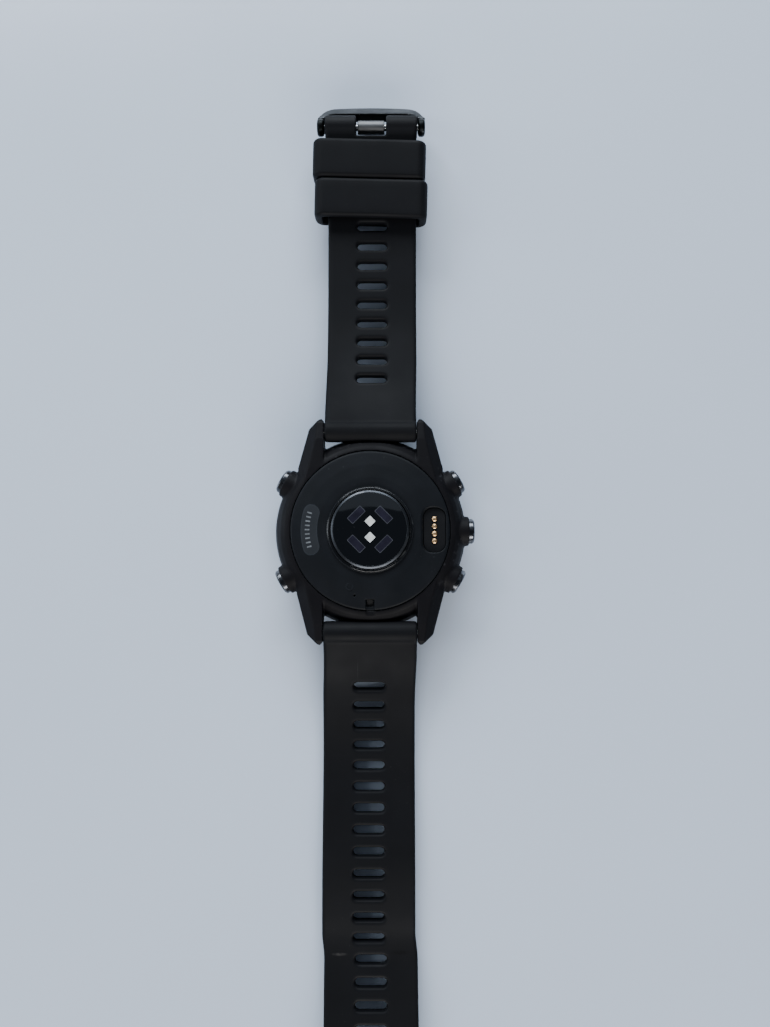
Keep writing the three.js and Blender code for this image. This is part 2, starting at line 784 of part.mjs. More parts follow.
function buckleTongue() {
  const eye = solid(rodX(1.6, -TONGUE_WIDTH / 2, TONGUE_WIDTH / 2, 16));
  const blade = solid(
    acrossX(
      [
        [0, -1.6],
        [2, -1.75],
        [10.2, -1.75],
        [10.8, -1.4],
        [10.8, -1.1],
        [10.2, -0.95],
        [5.5, -0.95],
        [4.3, 0.1],
        [0.8, 1.35],
        [0, 1.5],
      ],
      TONGUE_WIDTH / 2,
    ),
  );
  return geometryOf(join([eye, blade]).subtract(solid(rodX(0.95, -5, 5, 16))));
}

function bucklePin() {
  const ends = 13.5;
  return turnedX([[0, -ends], [0.7, -ends], [0.8, 0.1 - ends], [0.8, ends - 0.1], [0.7, ends], [0, ends]], 16);
}

const bucklePlace = new THREE.Group();
bucklePlace.position.set(0, BUCKLE_PIN_Y, BUCKLE_PIN_Z);
bucklePlace.rotation.x = rad(BUCKLE_DROOP);
part.add(bucklePlace);
mesh("buckle_frame", buckleFrame(), MATERIALS.darkSteel, bucklePlace);
mesh("buckle_tongue", buckleTongue(), MATERIALS.brightSteel, bucklePlace);
mesh("buckle_pin", bucklePin(), MATERIALS.brightSteel, bucklePlace);

export default part;
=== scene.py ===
from math import atan, atan2, cos, hypot, pi, radians, sin, sqrt, tan

import bmesh
import bpy
from mathutils import Matrix, Vector


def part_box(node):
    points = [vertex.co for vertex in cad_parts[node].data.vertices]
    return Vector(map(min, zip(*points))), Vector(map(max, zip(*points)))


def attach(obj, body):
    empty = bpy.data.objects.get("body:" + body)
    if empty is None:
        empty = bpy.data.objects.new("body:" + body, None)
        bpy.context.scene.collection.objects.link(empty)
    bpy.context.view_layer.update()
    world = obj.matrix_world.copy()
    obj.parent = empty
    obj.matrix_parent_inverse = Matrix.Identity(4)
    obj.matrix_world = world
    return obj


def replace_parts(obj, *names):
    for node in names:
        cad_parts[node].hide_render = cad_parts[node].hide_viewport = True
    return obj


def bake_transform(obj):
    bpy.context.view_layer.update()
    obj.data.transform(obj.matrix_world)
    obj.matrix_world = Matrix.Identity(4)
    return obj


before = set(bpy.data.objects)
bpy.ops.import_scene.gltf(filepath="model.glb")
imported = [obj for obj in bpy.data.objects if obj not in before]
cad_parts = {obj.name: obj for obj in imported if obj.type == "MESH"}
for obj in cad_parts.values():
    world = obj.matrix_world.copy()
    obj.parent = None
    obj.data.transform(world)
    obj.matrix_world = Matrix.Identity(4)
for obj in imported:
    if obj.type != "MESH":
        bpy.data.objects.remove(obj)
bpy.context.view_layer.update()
MM = 0.001

# ---------------------------------------------------------------- table, light and camera
# The computer lies face down on a pale satin table top of lacquered board, with both strap
# halves laid out flat. Four soft lamps and a pale room light it; the camera looks down.
TABLE_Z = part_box("bezel")[0].z


def node_material(name):
    made = bpy.data.materials.new(name)
    made.use_nodes = True
    return made, made.node_tree.nodes, made.node_tree.links, made.node_tree.nodes["Principled BSDF"]


def effect(name, inputs, outputs):
    """A shader node group with named inputs and outputs."""
    tree = bpy.data.node_groups.new(name, "ShaderNodeTree")
    for label, kind, value in inputs:
        socket = tree.interface.new_socket(label, in_out="INPUT", socket_type="NodeSocket" + kind)
        socket.default_value = value
    for label, kind in outputs:
        tree.interface.new_socket(label, in_out="OUTPUT", socket_type="NodeSocket" + kind)
    enter = tree.nodes.new("NodeGroupInput")
    leave = tree.nodes.new("NodeGroupOutput")
    return tree, tree.nodes, tree.links, enter.outputs, leave.inputs


def feed(links, value, socket):
    """A number or another node's output goes into a socket."""
    if isinstance(value, (int, float)):
        socket.default_value = value
    else:
        links.new(value, socket)


def noise_of(nodes, links, scale, detail=4.0):
    """A noise over the piece's own coordinates, at a scale per metre."""
    place = nodes.new("ShaderNodeTexCoord")
    noise = nodes.new("ShaderNodeTexNoise")
    noise.inputs["Detail"].default_value = detail
    links.new(place.outputs["Object"], noise.inputs["Vector"])
    feed(links, scale, noise.inputs["Scale"])
    return noise.outputs["Fac"]


def ranged(nodes, links, value, low, high, to_low, to_high):
    """value from low..high, brought to and held inside to_low..to_high."""
    change = nodes.new("ShaderNodeMapRange")
    links.new(value, change.inputs["Value"])
    for label, end in (("From Min", low), ("From Max", high), ("To Min", to_low), ("To Max", to_high)):
        feed(links, end, change.inputs[label])
    return change.outputs["Result"]


def times(nodes, links, first, second, plus=None):
    """first times second, plus a third value where there is one."""
    product = nodes.new("ShaderNodeMath")
    product.operation = "MULTIPLY" if plus is None else "MULTIPLY_ADD"
    for socket, value in zip(product.inputs, (first, second, plus)):
        if value is not None:
            feed(links, value, socket)
    return product.outputs[0]


# Patches of slightly lighter and darker tone, as in any moulded, printed or lacquered surface.
tone_patches, nodes, links, enter, leave = effect(
    "tone_patches",
    [("Colour", "Color", (0.5, 0.5, 0.5, 1)), ("Amount", "Float", 0.1), ("Scale", "Float", 150.0)],
    [("Colour", "Color")],
)
patch = noise_of(nodes, links, enter["Scale"])
brighter = times(nodes, links, ranged(nodes, links, patch, 0.3, 0.7, -1.0, 1.0), enter["Amount"], 1.0)
tint = nodes.new("ShaderNodeHueSaturation")
links.new(brighter, tint.inputs["Value"])
links.new(enter["Colour"], tint.inputs["Color"])
links.new(tint.outputs["Color"], leave["Colour"])

# Roughness that drifts with touch and cleaning.
handled_gloss, nodes, links, enter, leave = effect(
    "handled_gloss",
    [("Roughness", "Float", 0.5), ("Spread", "Float", 0.08), ("Scale", "Float", 90.0)],
    [("Roughness", "Float")],
)
touch = ranged(nodes, links, noise_of(nodes, links, enter["Scale"], 6.0), 0.3, 0.7, -1.0, 1.0)
drift = times(nodes, links, touch, enter["Spread"], enter["Roughness"])
drift.node.use_clamp = True
links.new(drift, leave["Roughness"])

# Fine relief of the surface itself: spark-eroded mould texture, blasting or orange peel.
surface_grain, nodes, links, enter, leave = effect(
    "surface_grain",
    [("Scale", "Float", 4000.0), ("Height", "Float", 0.00002), ("Along", "Vector", (1, 1, 1))],
    [("Normal", "Vector")],
)
place = nodes.new("ShaderNodeTexCoord")
pull = nodes.new("ShaderNodeVectorMath")
pull.operation = "MULTIPLY"
links.new(place.outputs["Object"], pull.inputs[0])
links.new(enter["Along"], pull.inputs[1])
grains = nodes.new("ShaderNodeTexNoise")
grains.inputs["Detail"].default_value = 3.0
links.new(pull.outputs["Vector"], grains.inputs["Vector"])
links.new(enter["Scale"], grains.inputs["Scale"])
relief = nodes.new("ShaderNodeBump")
relief.inputs["Strength"].default_value = 1.0
links.new(enter["Height"], relief.inputs["Distance"])
links.new(grains.outputs["Fac"], relief.inputs["Height"])
links.new(relief.outputs["Normal"], leave["Normal"])

# Edges rubbed by sleeves, skin and tables.
rubbed_edges, nodes, links, enter, leave = effect(
    "rubbed_edges",
    [("Amount", "Float", 0.5), ("Scale", "Float", 400.0)],
    [("Mask", "Float")],
)
form = nodes.new("ShaderNodeNewGeometry")
edge = ranged(nodes, links, form.outputs["Pointiness"], 0.52, 0.62, 0.0, 1.0)
broken = ranged(nodes, links, noise_of(nodes, links, enter["Scale"], 5.0), 0.35, 0.65, 0.25, 1.0)
links.new(times(nodes, links, times(nodes, links, edge, broken), enter["Amount"]), leave["Mask"])

# Lint and dust: sparse pale specks.
dust_specks, nodes, links, enter, leave = effect(
    "dust_specks",
    [("Amount", "Float", 0.3), ("Scale", "Float", 1800.0)],
    [("Mask", "Float")],
)
specks = ranged(nodes, links, noise_of(nodes, links, enter["Scale"], 2.0), 0.70, 0.78, 0.0, 1.0)
drifts = ranged(nodes, links, noise_of(nodes, links, 60.0, 3.0), 0.45, 0.65, 0.0, 1.0)
links.new(times(nodes, links, times(nodes, links, specks, drifts), enter["Amount"]), leave["Mask"])


def placed(nodes, tree, **values):
    """One of the effects above in a material, with its own values."""
    node = nodes.new("ShaderNodeGroup")
    node.node_tree = tree
    for label, value in values.items():
        node.inputs[label].default_value = value
    return node


def finish_of(
    name, colour, roughness, worn=None, wear=0.0, patches=0.12, patch_scale=150.0, spread=0.06, touch_scale=90.0,
    grain=(4000.0, 0.00001), along=(1, 1, 1), dust=0.0, dust_scale=1800.0, metallic=0.0, specular=0.5, coat=0.0,
    coat_roughness=0.1, sheen=0.0,
):
    """A procedural finish: toned colour, rubbed edges, dust, uneven gloss and fine relief."""
    made, nodes, links, shader = node_material(name)
    tone = placed(nodes, tone_patches, Colour=(*colour, 1), Amount=patches, Scale=patch_scale)
    source = tone.outputs["Colour"]
    layers = []
    if wear:
        layers.append((placed(nodes, rubbed_edges, Amount=wear).outputs["Mask"], worn or colour))
    if dust:
        layers.append((placed(nodes, dust_specks, Amount=dust, Scale=dust_scale).outputs["Mask"], (0.35, 0.35, 0.34)))
    for mask, over in layers:
        mix = nodes.new("ShaderNodeMix")
        mix.data_type = "RGBA"
        links.new(mask, mix.inputs["Factor"])
        links.new(source, mix.inputs["A"])
        mix.inputs["B"].default_value = (*over, 1)
        source = mix.outputs["Result"]
    links.new(source, shader.inputs["Base Color"])
    gloss = placed(nodes, handled_gloss, Roughness=roughness, Spread=spread, Scale=touch_scale)
    links.new(gloss.outputs["Roughness"], shader.inputs["Roughness"])
    skin = placed(nodes, surface_grain, Scale=grain[0], Height=grain[1], Along=along)
    links.new(skin.outputs["Normal"], shader.inputs["Normal"])
    shader.inputs["Metallic"].default_value = metallic
    shader.inputs["Specular IOR Level"].default_value = specular
    shader.inputs["Coat Weight"].default_value = coat
    shader.inputs["Coat Roughness"].default_value = coat_roughness
    shader.inputs["Sheen Weight"].default_value = sheen
    return made


def stood(name, data):
    made = bpy.data.objects.new(name, data)
    bpy.context.scene.collection.objects.link(made)
    return made


def mesh_of(name, points, faces, smooth=38, merge=1e-5):
    """A mesh object from points in millimetres, closed where points meet, with faces turned outwards."""
    data = bpy.data.meshes.new(name)
    data.from_pydata([(x * MM, y * MM, z * MM) for x, y, z in points], [], faces)
    work = bmesh.new()
    work.from_mesh(data)
    bmesh.ops.remove_doubles(work, verts=work.verts, dist=merge * MM * 10)
    bmesh.ops.dissolve_degenerate(work, edges=work.edges, dist=1e-9)
    bmesh.ops.recalc_face_normals(work, faces=work.faces)
    work.to_mesh(data)
    work.free()
    return shaded(stood(name, data), smooth)


def shaded(made, smooth=38):
    """Smooth shading, kept crisp where faces meet at more than this many degrees."""
    made.data.shade_smooth()
    made.data.set_sharp_from_angle(angle=radians(smooth))
    return made


def wearing(made, look):
    made.data.materials.clear()
    made.data.materials.append(look)
    return made


lacquer = finish_of(
    "table_lacquer", (0.585, 0.665, 0.79), 0.22, patches=0.02, patch_scale=8, spread=0.05, touch_scale=14,
    grain=(420.0, 0.00002), specular=0.5,
)
TABLE_SIZE, TABLE_STEPS = 3000, 24
marks = [TABLE_SIZE * (n / TABLE_STEPS - 0.5) for n in range(TABLE_STEPS + 1)]
row = TABLE_STEPS + 1
corners = [y * row + x for y in range(TABLE_STEPS) for x in range(TABLE_STEPS)]
table = mesh_of(
    "table", [(x, y, TABLE_Z / MM) for y in marks for x in marks], [(a, a + 1, a + row + 1, a + row) for a in corners]
)
wearing(table, lacquer)

room = bpy.data.worlds.new("room")
room.use_nodes = True
nodes, links = room.node_tree.nodes, room.node_tree.links
whose_ray = nodes.new("ShaderNodeLightPath")
either = nodes.new("ShaderNodeMixShader")
links.new(whose_ray.outputs["Is Camera Ray"], either.inputs["Fac"])
walls = [
    (1, nodes["Background"], (0.72, 0.84, 1.0, 1), 0.10),
    (2, nodes.new("ShaderNodeBackground"), (0.60, 0.65, 0.70, 1), 0.8),
]
for number, wall, tone, strength in walls:
    wall.inputs["Color"].default_value = tone
    wall.inputs["Strength"].default_value = strength
    links.new(wall.outputs[0], either.inputs[number])
links.new(either.outputs[0], nodes["World Output"].inputs["Surface"])
bpy.context.scene.world = room


def lamp(name, place, aim, size, power, colour):
    data = bpy.data.lights.new(name, "AREA")
    data.shape = "RECTANGLE"
    data.size, data.size_y = size
    data.energy = power
    data.color = colour
    made = stood(name, data)
    made.location = place
    made.rotation_euler = (Vector(aim) - Vector(place)).to_track_quat("-Z", "Y").to_euler()


lamp("far_lamp", (-0.15, 1.10, 0.66), (0, 0, 0), (1.4, 0.5), 30.0, (0.86, 0.93, 1.0))
lamp("near_lamp", (0.10, -1.15, 0.60), (0, 0, 0), (1.4, 0.45), 21.0, (0.98, 0.97, 0.96))
lamp("window_lamp", (-1.05, 0.10, 0.42), (0, 0, 0), (0.4, 0.8), 5.0, (0.88, 0.94, 1.0))
lamp("sky_lamp", (0.0, 0.55, 0.90), (0, 0.55, 0), (0.9, 0.7), 0.6, (0.74, 0.86, 1.0))

eye = bpy.data.cameras.new("camera")
eye.lens = 27.69
eye.sensor_width = 36
eye.clip_start, eye.clip_end = 0.01, 20
camera = stood("camera", eye)
camera.location = (0.0035, -0.014, 0.1975)
camera.rotation_euler = (radians(5.5), 0, 0)
bpy.context.scene.camera = camera

# ---------------------------------------------------------------- bezel
# A turned ring of fibre-filled polymer on the front of the case, with a raised rim that keeps
# the glass off a table and 60 painted minute marks. It is bonded to the middle case.
CASE_RADIUS = 23.25
REST_Z = -0.35
BEZEL_TOP_Z = 3.2
LENS_RADIUS = 18.25
DISPLAY_BORE_RADIUS = 17


def softened(points, closed=False, pieces=5):
    """Points of an outline; a third number is the radius its corner is rounded to."""
    out = []
    count = len(points)
    for i, point in enumerate(points):
        here = Vector(point[:2])
        radius = point[2] if len(point) > 2 else 0
        if not radius or (not closed and i in (0, count - 1)):
            out.append((here.x, here.y))
            continue
        before = Vector(points[i - 1][:2]) - here
        after = Vector(points[(i + 1) % count][:2]) - here
        angle = before.angle(after)
        reach = min(radius / tan(angle / 2), before.length * 0.48, after.length * 0.48)
        start, end = here + before.normalized() * reach, here + after.normalized() * reach
        for k in range(pieces + 1):
            t = k / pieces
            bend = start * (1 - t) ** 2 + here * 2 * t * (1 - t) + end * t**2
            out.append((bend.x, bend.y))
    return out


def turned(name, profile, closed=False, steps=128):
    """A profile of (radius, height) points turned about Z."""
    line = softened(profile, closed)
    rings = len(line)
    points = [
        (r * cos(2 * pi * j / steps), r * sin(2 * pi * j / steps), z)
        for r, z in line
        for j in range(steps)
    ]
    faces = []
    for i in range(rings if closed else rings - 1):
        a, b = i * steps, (i + 1) % rings * steps
        for j in range(steps):
            k = (j + 1) % steps
            faces.append((a + j, a + k, b + k, b + j))
    return mesh_of(name, points, faces)


bezel_polymer = finish_of(
    "bezel_polymer", (0.0035, 0.0035, 0.0045), 0.3, worn=(0.12, 0.12, 0.125), wear=0.35, patches=0.1, spread=0.08,
    grain=(5200.0, 0.000006), dust=0.1, dust_scale=2600, specular=0.3,
)
bezel = turned(
    "bezel_ring",
    [
        (DISPLAY_BORE_RADIUS, BEZEL_TOP_Z), (DISPLAY_BORE_RADIUS, 1.7), (18.35, 1.7), (18.35, 0.1, 0.15),
        (18.85, REST_Z, 0.3), (CASE_RADIUS - 1.2, REST_Z, 0.5), (CASE_RADIUS - 0.2, 0.5, 0.5),
        (CASE_RADIUS, 1.2, 0.4), (CASE_RADIUS, BEZEL_TOP_Z - 0.3, 0.15), (CASE_RADIUS - 0.3, BEZEL_TOP_Z, 0.1),
    ],
    closed=True,
    steps=180,
)
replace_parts(wearing(bezel, bezel_polymer), "bezel")
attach(bezel, "case")


def blocks(name, places):
    """Many small blocks in one mesh: (centre, size, turn about Z in degrees, centre of the turn is the origin)."""
    points, faces = [], []
    for (cx, cy, cz), (w, d, h), degrees in places:
        c, s = cos(radians(degrees)), sin(radians(degrees))
        first = len(points)
        for sz in (-1, 1):
            for sx, sy in ((-1, -1), (1, -1), (1, 1), (-1, 1)):
                x, y = cx + sx * w / 2, cy + sy * d / 2
                points.append((x * c - y * s, x * s + y * c, cz + sz * h / 2))
        for face in ((0, 1, 2, 3), (4, 5, 6, 7), (0, 1, 5, 4), (1, 2, 6, 5), (2, 3, 7, 6), (3, 0, 4, 7)):
            faces.append(tuple(first + k for k in face))
    return mesh_of(name, points, faces, merge=1e-7)


mark_paint = finish_of("mark_paint", (0.42, 0.43, 0.44), 0.55, patches=0.15, grain=(9000.0, 0.000004), specular=0.3)
MARK_CIRCLE = 20.6
minute_marks = blocks(
    "bezel_minute_marks",
    [((MARK_CIRCLE, 0, -0.27), (0.9, 0.16, 0.17) if n % 5 else (1.6, 0.34, 0.17), n * 6) for n in range(60)],
)
wearing(minute_marks, mark_paint)
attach(minute_marks, "case")

# ---------------------------------------------------------------- glass, gasket and display
# Flat chemically hardened glass with a small edge facet, on a black foam gasket. Behind it is the
# reflective display, switched off, with a plain dial of hour bars and two hands.
glass_look, nodes, links, shader = node_material("hardened_glass")
shader.inputs["Base Color"].default_value = (0.90, 0.93, 0.94, 1)
shader.inputs["Transmission Weight"].default_value = 1.0
shader.inputs["IOR"].default_value = 1.51
smears = placed(nodes, handled_gloss, Roughness=0.03, Spread=0.03, Scale=60.0)
links.new(smears.outputs["Roughness"], shader.inputs["Roughness"])
ripple = placed(nodes, surface_grain, Scale=300.0, Height=0.000001)
links.new(ripple.outputs["Normal"], shader.inputs["Normal"])
lens = turned(
    "display_glass",
    [(0, 0), (LENS_RADIUS - 0.3, 0, 0.1), (LENS_RADIUS, 0.3, 0.1), (LENS_RADIUS, 1.25, 0.05), (0, 1.25)],
)
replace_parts(wearing(lens, glass_look), "lens")
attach(lens, "case")

seal_rubber = finish_of(
    "seal_rubber", (0.012, 0.012, 0.013), 0.7, worn=(0.05, 0.05, 0.05), wear=0.3, grain=(6000.0, 0.00001), specular=0.3
)
display_film = finish_of(
    "display_film", (0.055, 0.064, 0.058), 0.4, patches=0.05, patch_scale=60, grain=(16000.0, 0.000002), specular=0.4
)


def refinish(look, *names):
    """A finish for CAD nodes that keep their own shape."""
    for name in names:
        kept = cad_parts[name]
        if kept.material_slots:
            for slot in kept.material_slots:
                slot.material = look
        else:
            kept.data.materials.append(look)


refinish(seal_rubber, "lens_gasket")
refinish(display_film, "display_panel")
dial = [((15.1, 0, 1.33), (1.9, 0.5, 0.05) if n % 3 else (2.6, 0.8, 0.05), n * 30) for n in range(12)]
dial += [((4.6, 0, 1.32), (9.6, 0.8, 0.04), 150), ((6.4, 0, 1.31), (13.0, 0.6, 0.03), 30)]
hour_bars = blocks("display_hour_bars", dial)
wearing(hour_bars, mark_paint)
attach(hour_bars, "case")

# ---------------------------------------------------------------- middle case
# One injection moulding of black fibre-filled polymer with four lugs, five button bosses and a
# seat for the back cover. Its mould texture is fine and matt; corners are polished by wear.
CAVITY_RADIUS = 18.2
CASE_RIM_Z = 11.6
COVER_SHELF_Z = 10.2
COVER_RADIUS = 18.75
SEAT_RADIUS = 18.95
VENT_NOTCH_Y = -18.35
LUG_GAP = 22.4
PIN_Y, PIN_Z = 24, 9.2
BUTTON_AXIS_Z = 7
BUTTON_FACE = 24.9
BUTTONS = {"light": 30, "up": 0, "down": -30, "start": 150, "back": 210}


def prism(name, outline, low, high, axis="Z"):
    """An outline raised along Z from low to high, or, with axis X, (y, z) points run along X."""
    put = (lambda a, b, h: (a, b, h)) if axis == "Z" else (lambda a, b, h: (h, a, b))
    count = len(outline)
    points = [put(a, b, h) for h in (low, high) for a, b in outline]
    faces = [tuple(range(count)), tuple(range(count, 2 * count))]
    faces += [(i, (i + 1) % count, count + (i + 1) % count, count + i) for i in range(count)]
    return mesh_of(name, points, faces)


def moved(made, matrix):
    """Moves the mesh itself, so that the object stays at the origin."""
    made.data.transform(matrix)
    if matrix.determinant() < 0:
        made.data.flip_normals()
    return made


def shift(x, y, z):
    return Matrix.Translation((x * MM, y * MM, z * MM))


def spin(degrees, axis="Z"):
    return Matrix.Rotation(radians(degrees), 4, axis)


def round_bar(name, radius, low, high, steps=48, axis="X", edge=0.0):
    """A round bar along X or Z, with its ends' edges rounded."""
    profile = [(0, low), (radius, low, edge), (radius, high, edge), (0, high)]
    made = turned(name, profile, steps=steps)
    return moved(made, spin(90, "Y")) if axis == "X" else made


def settled(made):
    """Applies the modifiers."""
    graph = bpy.context.evaluated_depsgraph_get()
    done = bpy.data.meshes.new_from_object(made.evaluated_get(graph))
    old = made.data
    made.modifiers.clear()
    made.data = done
    bpy.data.meshes.remove(old)
    return made


def combined(made, tool, operation):
    step = made.modifiers.new(operation, "BOOLEAN")
    step.operation = operation
    step.solver = "MANIFOLD"
    step.object = tool
    settled(made)
    bpy.data.objects.remove(tool)
    return made


def gathered(name, shells):
    """Several shells as one mesh."""
    work = bmesh.new()
    for shell in shells:
        work.from_mesh(shell.data)
        bpy.data.objects.remove(shell)
    data = bpy.data.meshes.new(name)
    work.to_mesh(data)
    work.free()
    return stood(name, data)


def fused(made, grain):
    step = made.modifiers.new("fused", "REMESH")
    step.mode = "VOXEL"
    step.voxel_size = grain * MM
    return settled(made)


def eased(made, passes, factor=0.5):
    step = made.modifiers.new("eased", "SMOOTH")
    step.factor = factor
    step.iterations = passes
    return settled(made)


def moulded(name, shells, cutters, grain, passes):
    """Shells fused into one body, cut, then fused again so that every edge takes a small mould radius."""
    made = fused(gathered(name, shells), grain)
    for cutter in cutters:
        combined(made, cutter, "DIFFERENCE")
    return shaded(eased(fused(made, grain), passes), 50)


def lug(sx, sy):
    plan = [(11.2, 10), (17, 10), (17.5, 14.9), (14.9, 24.6), (12.3, 26.9), (11.8, 27), (11.2, 26.3)]
    side = [
        (8, 4), (18, 4.2), (22.5, 5.4), (25.8, 7), (27.2, 8.5), (27.2, 9.9), (26, 10.8), (22, 11.4), (15, CASE_RIM_Z),
        (8, CASE_RIM_Z),
    ]
    made = prism("lug", plan, 2, 14)
    combined(made, prism("lug_side", side, -20, 20, "X"), "INTERSECT")
    slant = prism("slant", [(0, -20), (6, -20), (6, 20), (0, 20)], -6, 6)
    moved(slant, shift(12.9, 24, 11.1) @ spin(15) @ spin(-48, "Y"))
    combined(made, slant, "DIFFERENCE")
    return moved(made, Matrix.Diagonal((sx, sy, 1, 1)))


def at_button(made, degrees):
    return moved(made, shift(0, 0, BUTTON_AXIS_Z) @ spin(degrees))


def at_bar(made, side=1):
    return moved(made, shift(0, side * PIN_Y, PIN_Z))


case_wall = turned(
    "case_wall",
    [
        (CAVITY_RADIUS, 3.3), (22.85, 3.3, 0.1), (23.1, 4.2, 0.8), (22.95, 6.5, 1.5), (22.35, 8.6, 1.5),
        (21.3, 10.3, 1), (20.2, 11.3, 0.6), (19.4, CASE_RIM_Z, 0.3), (SEAT_RADIUS, CASE_RIM_Z),
        (SEAT_RADIUS, COVER_SHELF_Z),
        (CAVITY_RADIUS, COVER_SHELF_Z),
    ],
    closed=True,
    steps=160,
)
shells = [case_wall]
shells += [lug(sx, sy) for sx in (1, -1) for sy in (1, -1)]
shells += [at_button(round_bar("boss", 3.55, 18.5, 23.8, edge=0.45), a) for a in BUTTONS.values()]
cutters = [turned("hollow", [(0, 0), (CAVITY_RADIUS, 0), (CAVITY_RADIUS, COVER_SHELF_Z), (0, COVER_SHELF_Z)])]
seat = [(0, COVER_SHELF_Z), (SEAT_RADIUS, COVER_SHELF_Z), (SEAT_RADIUS, 20), (0, 20)]
cutters.append(turned("seat", seat, steps=160))
for side in (1, -1):
    cutters.append(at_bar(round_bar("channel", 3, -LUG_GAP / 2, LUG_GAP / 2), side))
    cutters.append(at_bar(round_bar("tip_hole", 0.65, -12.7, 12.7, 24), side))
for a in BUTTONS.values():
    cutters.append(at_button(round_bar("stem_bore", 0.95, 15, 26, 24), a))
    cutters.append(at_button(round_bar("cap_bore", 3.2, 22.8, 26), a))
notch = prism("vent_notch", [(-1.05, -2.05), (1.05, -2.05), (1.05, 2.05), (-1.05, 2.05)], 11.3, 14.3)
cutters.append(moved(notch, shift(0, VENT_NOTCH_Y, 0)))
case_polymer = finish_of(
    "case_polymer", (0.0026, 0.0023, 0.0035), 0.6, worn=(0.05, 0.05, 0.056), wear=0.35, patches=0.16, patch_scale=240,
    spread=0.07, touch_scale=160, grain=(3600.0, 0.000020), dust=0.08, dust_scale=2600, specular=0.14,
)
mid_case = moulded("middle_case", shells, cutters, 0.2, 3)
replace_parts(wearing(mid_case, case_polymer), "mid_case")
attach(mid_case, "case")

# ---------------------------------------------------------------- push buttons
# Five turned steel buttons with a dark physical-vapour finish. Each has a dished cap with a bright
# rubbed rim, a stem through a ring seal, and a spring clip that keeps it in the case.
gunmetal = finish_of(
    "gunmetal", (0.085, 0.088, 0.096), 0.24, worn=(0.62, 0.62, 0.63), wear=0.8, patch_scale=400, spread=0.07,
    touch_scale=300, grain=(9000.0, 0.000003), metallic=1.0, dust=0.15,
)
bright_steel = finish_of(
    "bright_steel", (0.50, 0.50, 0.51), 0.24, worn=(0.7, 0.7, 0.7), wear=0.5, patches=0.08, spread=0.07,
    touch_scale=260, grain=(5200.0, 0.000004), along=(0.08, 1, 1), metallic=1.0,
)
for name, degrees in BUTTONS.items():
    cap = turned(
        f"button_cap_{name}",
        [
            (0, 24.72), (1.9, 24.74, 0.5), (2.4, 24.88, 0.2), (2.65, BUTTON_FACE, 0.1), (3, 24.5, 0.15),
            (3, 23.55, 0.1), (0.8, 23.55), (0.8, 17.8), (0.5, 17.8), (0.5, 17.4), (0.8, 17.4), (0.8, 17.1, 0.1),
            (0, 17.1),
        ],
        steps=64,
    )
    at_button(moved(cap, spin(90, "Y")), degrees)
    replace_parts(wearing(cap, gunmetal), f"button_{name}")
    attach(cap, f"button_{name}_body")
    refinish(seal_rubber, f"button_seal_{name}")
    refinish(bright_steel, f"button_clip_{name}")

# ---------------------------------------------------------------- what the case holds
# Main board with its chips, flexible switch ring, pouch battery and vibration motor. They are
# bought-in parts, glued or clipped into the case and out of sight under the back cover.
board_lacquer = finish_of(
    "board_lacquer", (0.012, 0.075, 0.035), 0.35, patches=0.3, patch_scale=900, grain=(2600.0, 0.00003), coat=0.3
)
battery_foil = finish_of(
    "battery_foil", (0.46, 0.47, 0.48), 0.33, patches=0.1, patch_scale=300, grain=(900.0, 0.00004), metallic=0.9
)
refinish(board_lacquer, "main_board", "switch_ring", "sensor_board")
refinish(battery_foil, "battery")
refinish(bright_steel, "vibration_motor")

# ---------------------------------------------------------------- back cover
# A low-domed disc of fine-textured polymer, clamped into the case on a gasket. It has a long socket
# for the charger, a vent with its channel, a pressure port and a smooth blank rating panel.
COVER_CROWN_Z = 12.6
COVER_EDGE = COVER_RADIUS + 0.1
SOCKET_X = 15.2
CONTACT_PITCH = 1.73
VENT_Y = -17.1


def rounded_rectangle(width, height, radius, pieces=6):
    w, h = width / 2 - radius, height / 2 - radius
    out = []
    for cx, cy, start in ((w, h, 0), (-w, h, 90), (-w, -h, 180), (w, -h, 270)):
        for k in range(pieces + 1):
            a = radians(start + 90 * k / pieces)
            out.append((cx + radius * cos(a), cy + radius * sin(a)))
    return out


def flared_cutter(name, outline_at, levels):
    """A cutter stacked from outlines: levels are (height, how far the outline grows)."""
    rings = [outline_at(grow) for _, grow in levels]
    count = len(rings[0])
    points = [(x, y, h) for (h, _), ring in zip(levels, rings) for x, y in ring]
    faces = [tuple(range(count)), tuple(range(len(points) - count, len(points)))]
    for i in range(len(levels) - 1):
        faces += [
            (i * count + j, i * count + (j + 1) % count, (i + 1) * count + (j + 1) % count, (i + 1) * count + j)
            for j in range(count)
        ]
    return mesh_of(name, points, faces)


cover_disc = turned(
    "cover_disc",
    [
        (9.6, 10.6), (COVER_EDGE, 10.6), (COVER_EDGE, 11.8, 0.15), (18.55, 12.03, 0.3), (15.5, 12.4, 3),
        (12.5, COVER_CROWN_Z, 3), (9.6, COVER_CROWN_Z),
    ],
    closed=True,
    steps=200,
)
socket = flared_cutter(
    "socket",
    lambda grow: rounded_rectangle(5.4 + 2 * grow, 10.6 + 2 * grow, 2.3 + grow),
    [(11, 0), (12.05, 0), (12.3, 0.15), (12.5, 0.5), (13.2, 0.9)],
)
contact_ys = [n * CONTACT_PITCH for n in (1.5, 0.5, -0.5, -1.5)]
cover_cuts = [moved(socket, shift(SOCKET_X, 0, 0))]
cover_cuts += [moved(round_bar("pin_hole", 0.77, 9, 13, 24, "Z"), shift(SOCKET_X, y, 0)) for y in contact_ys]
cover_cuts.append(moved(prism("vent_notch", rounded_rectangle(2.1, 4.1, 0.2), 11.3, 14.3), shift(0, VENT_NOTCH_Y, 0)))
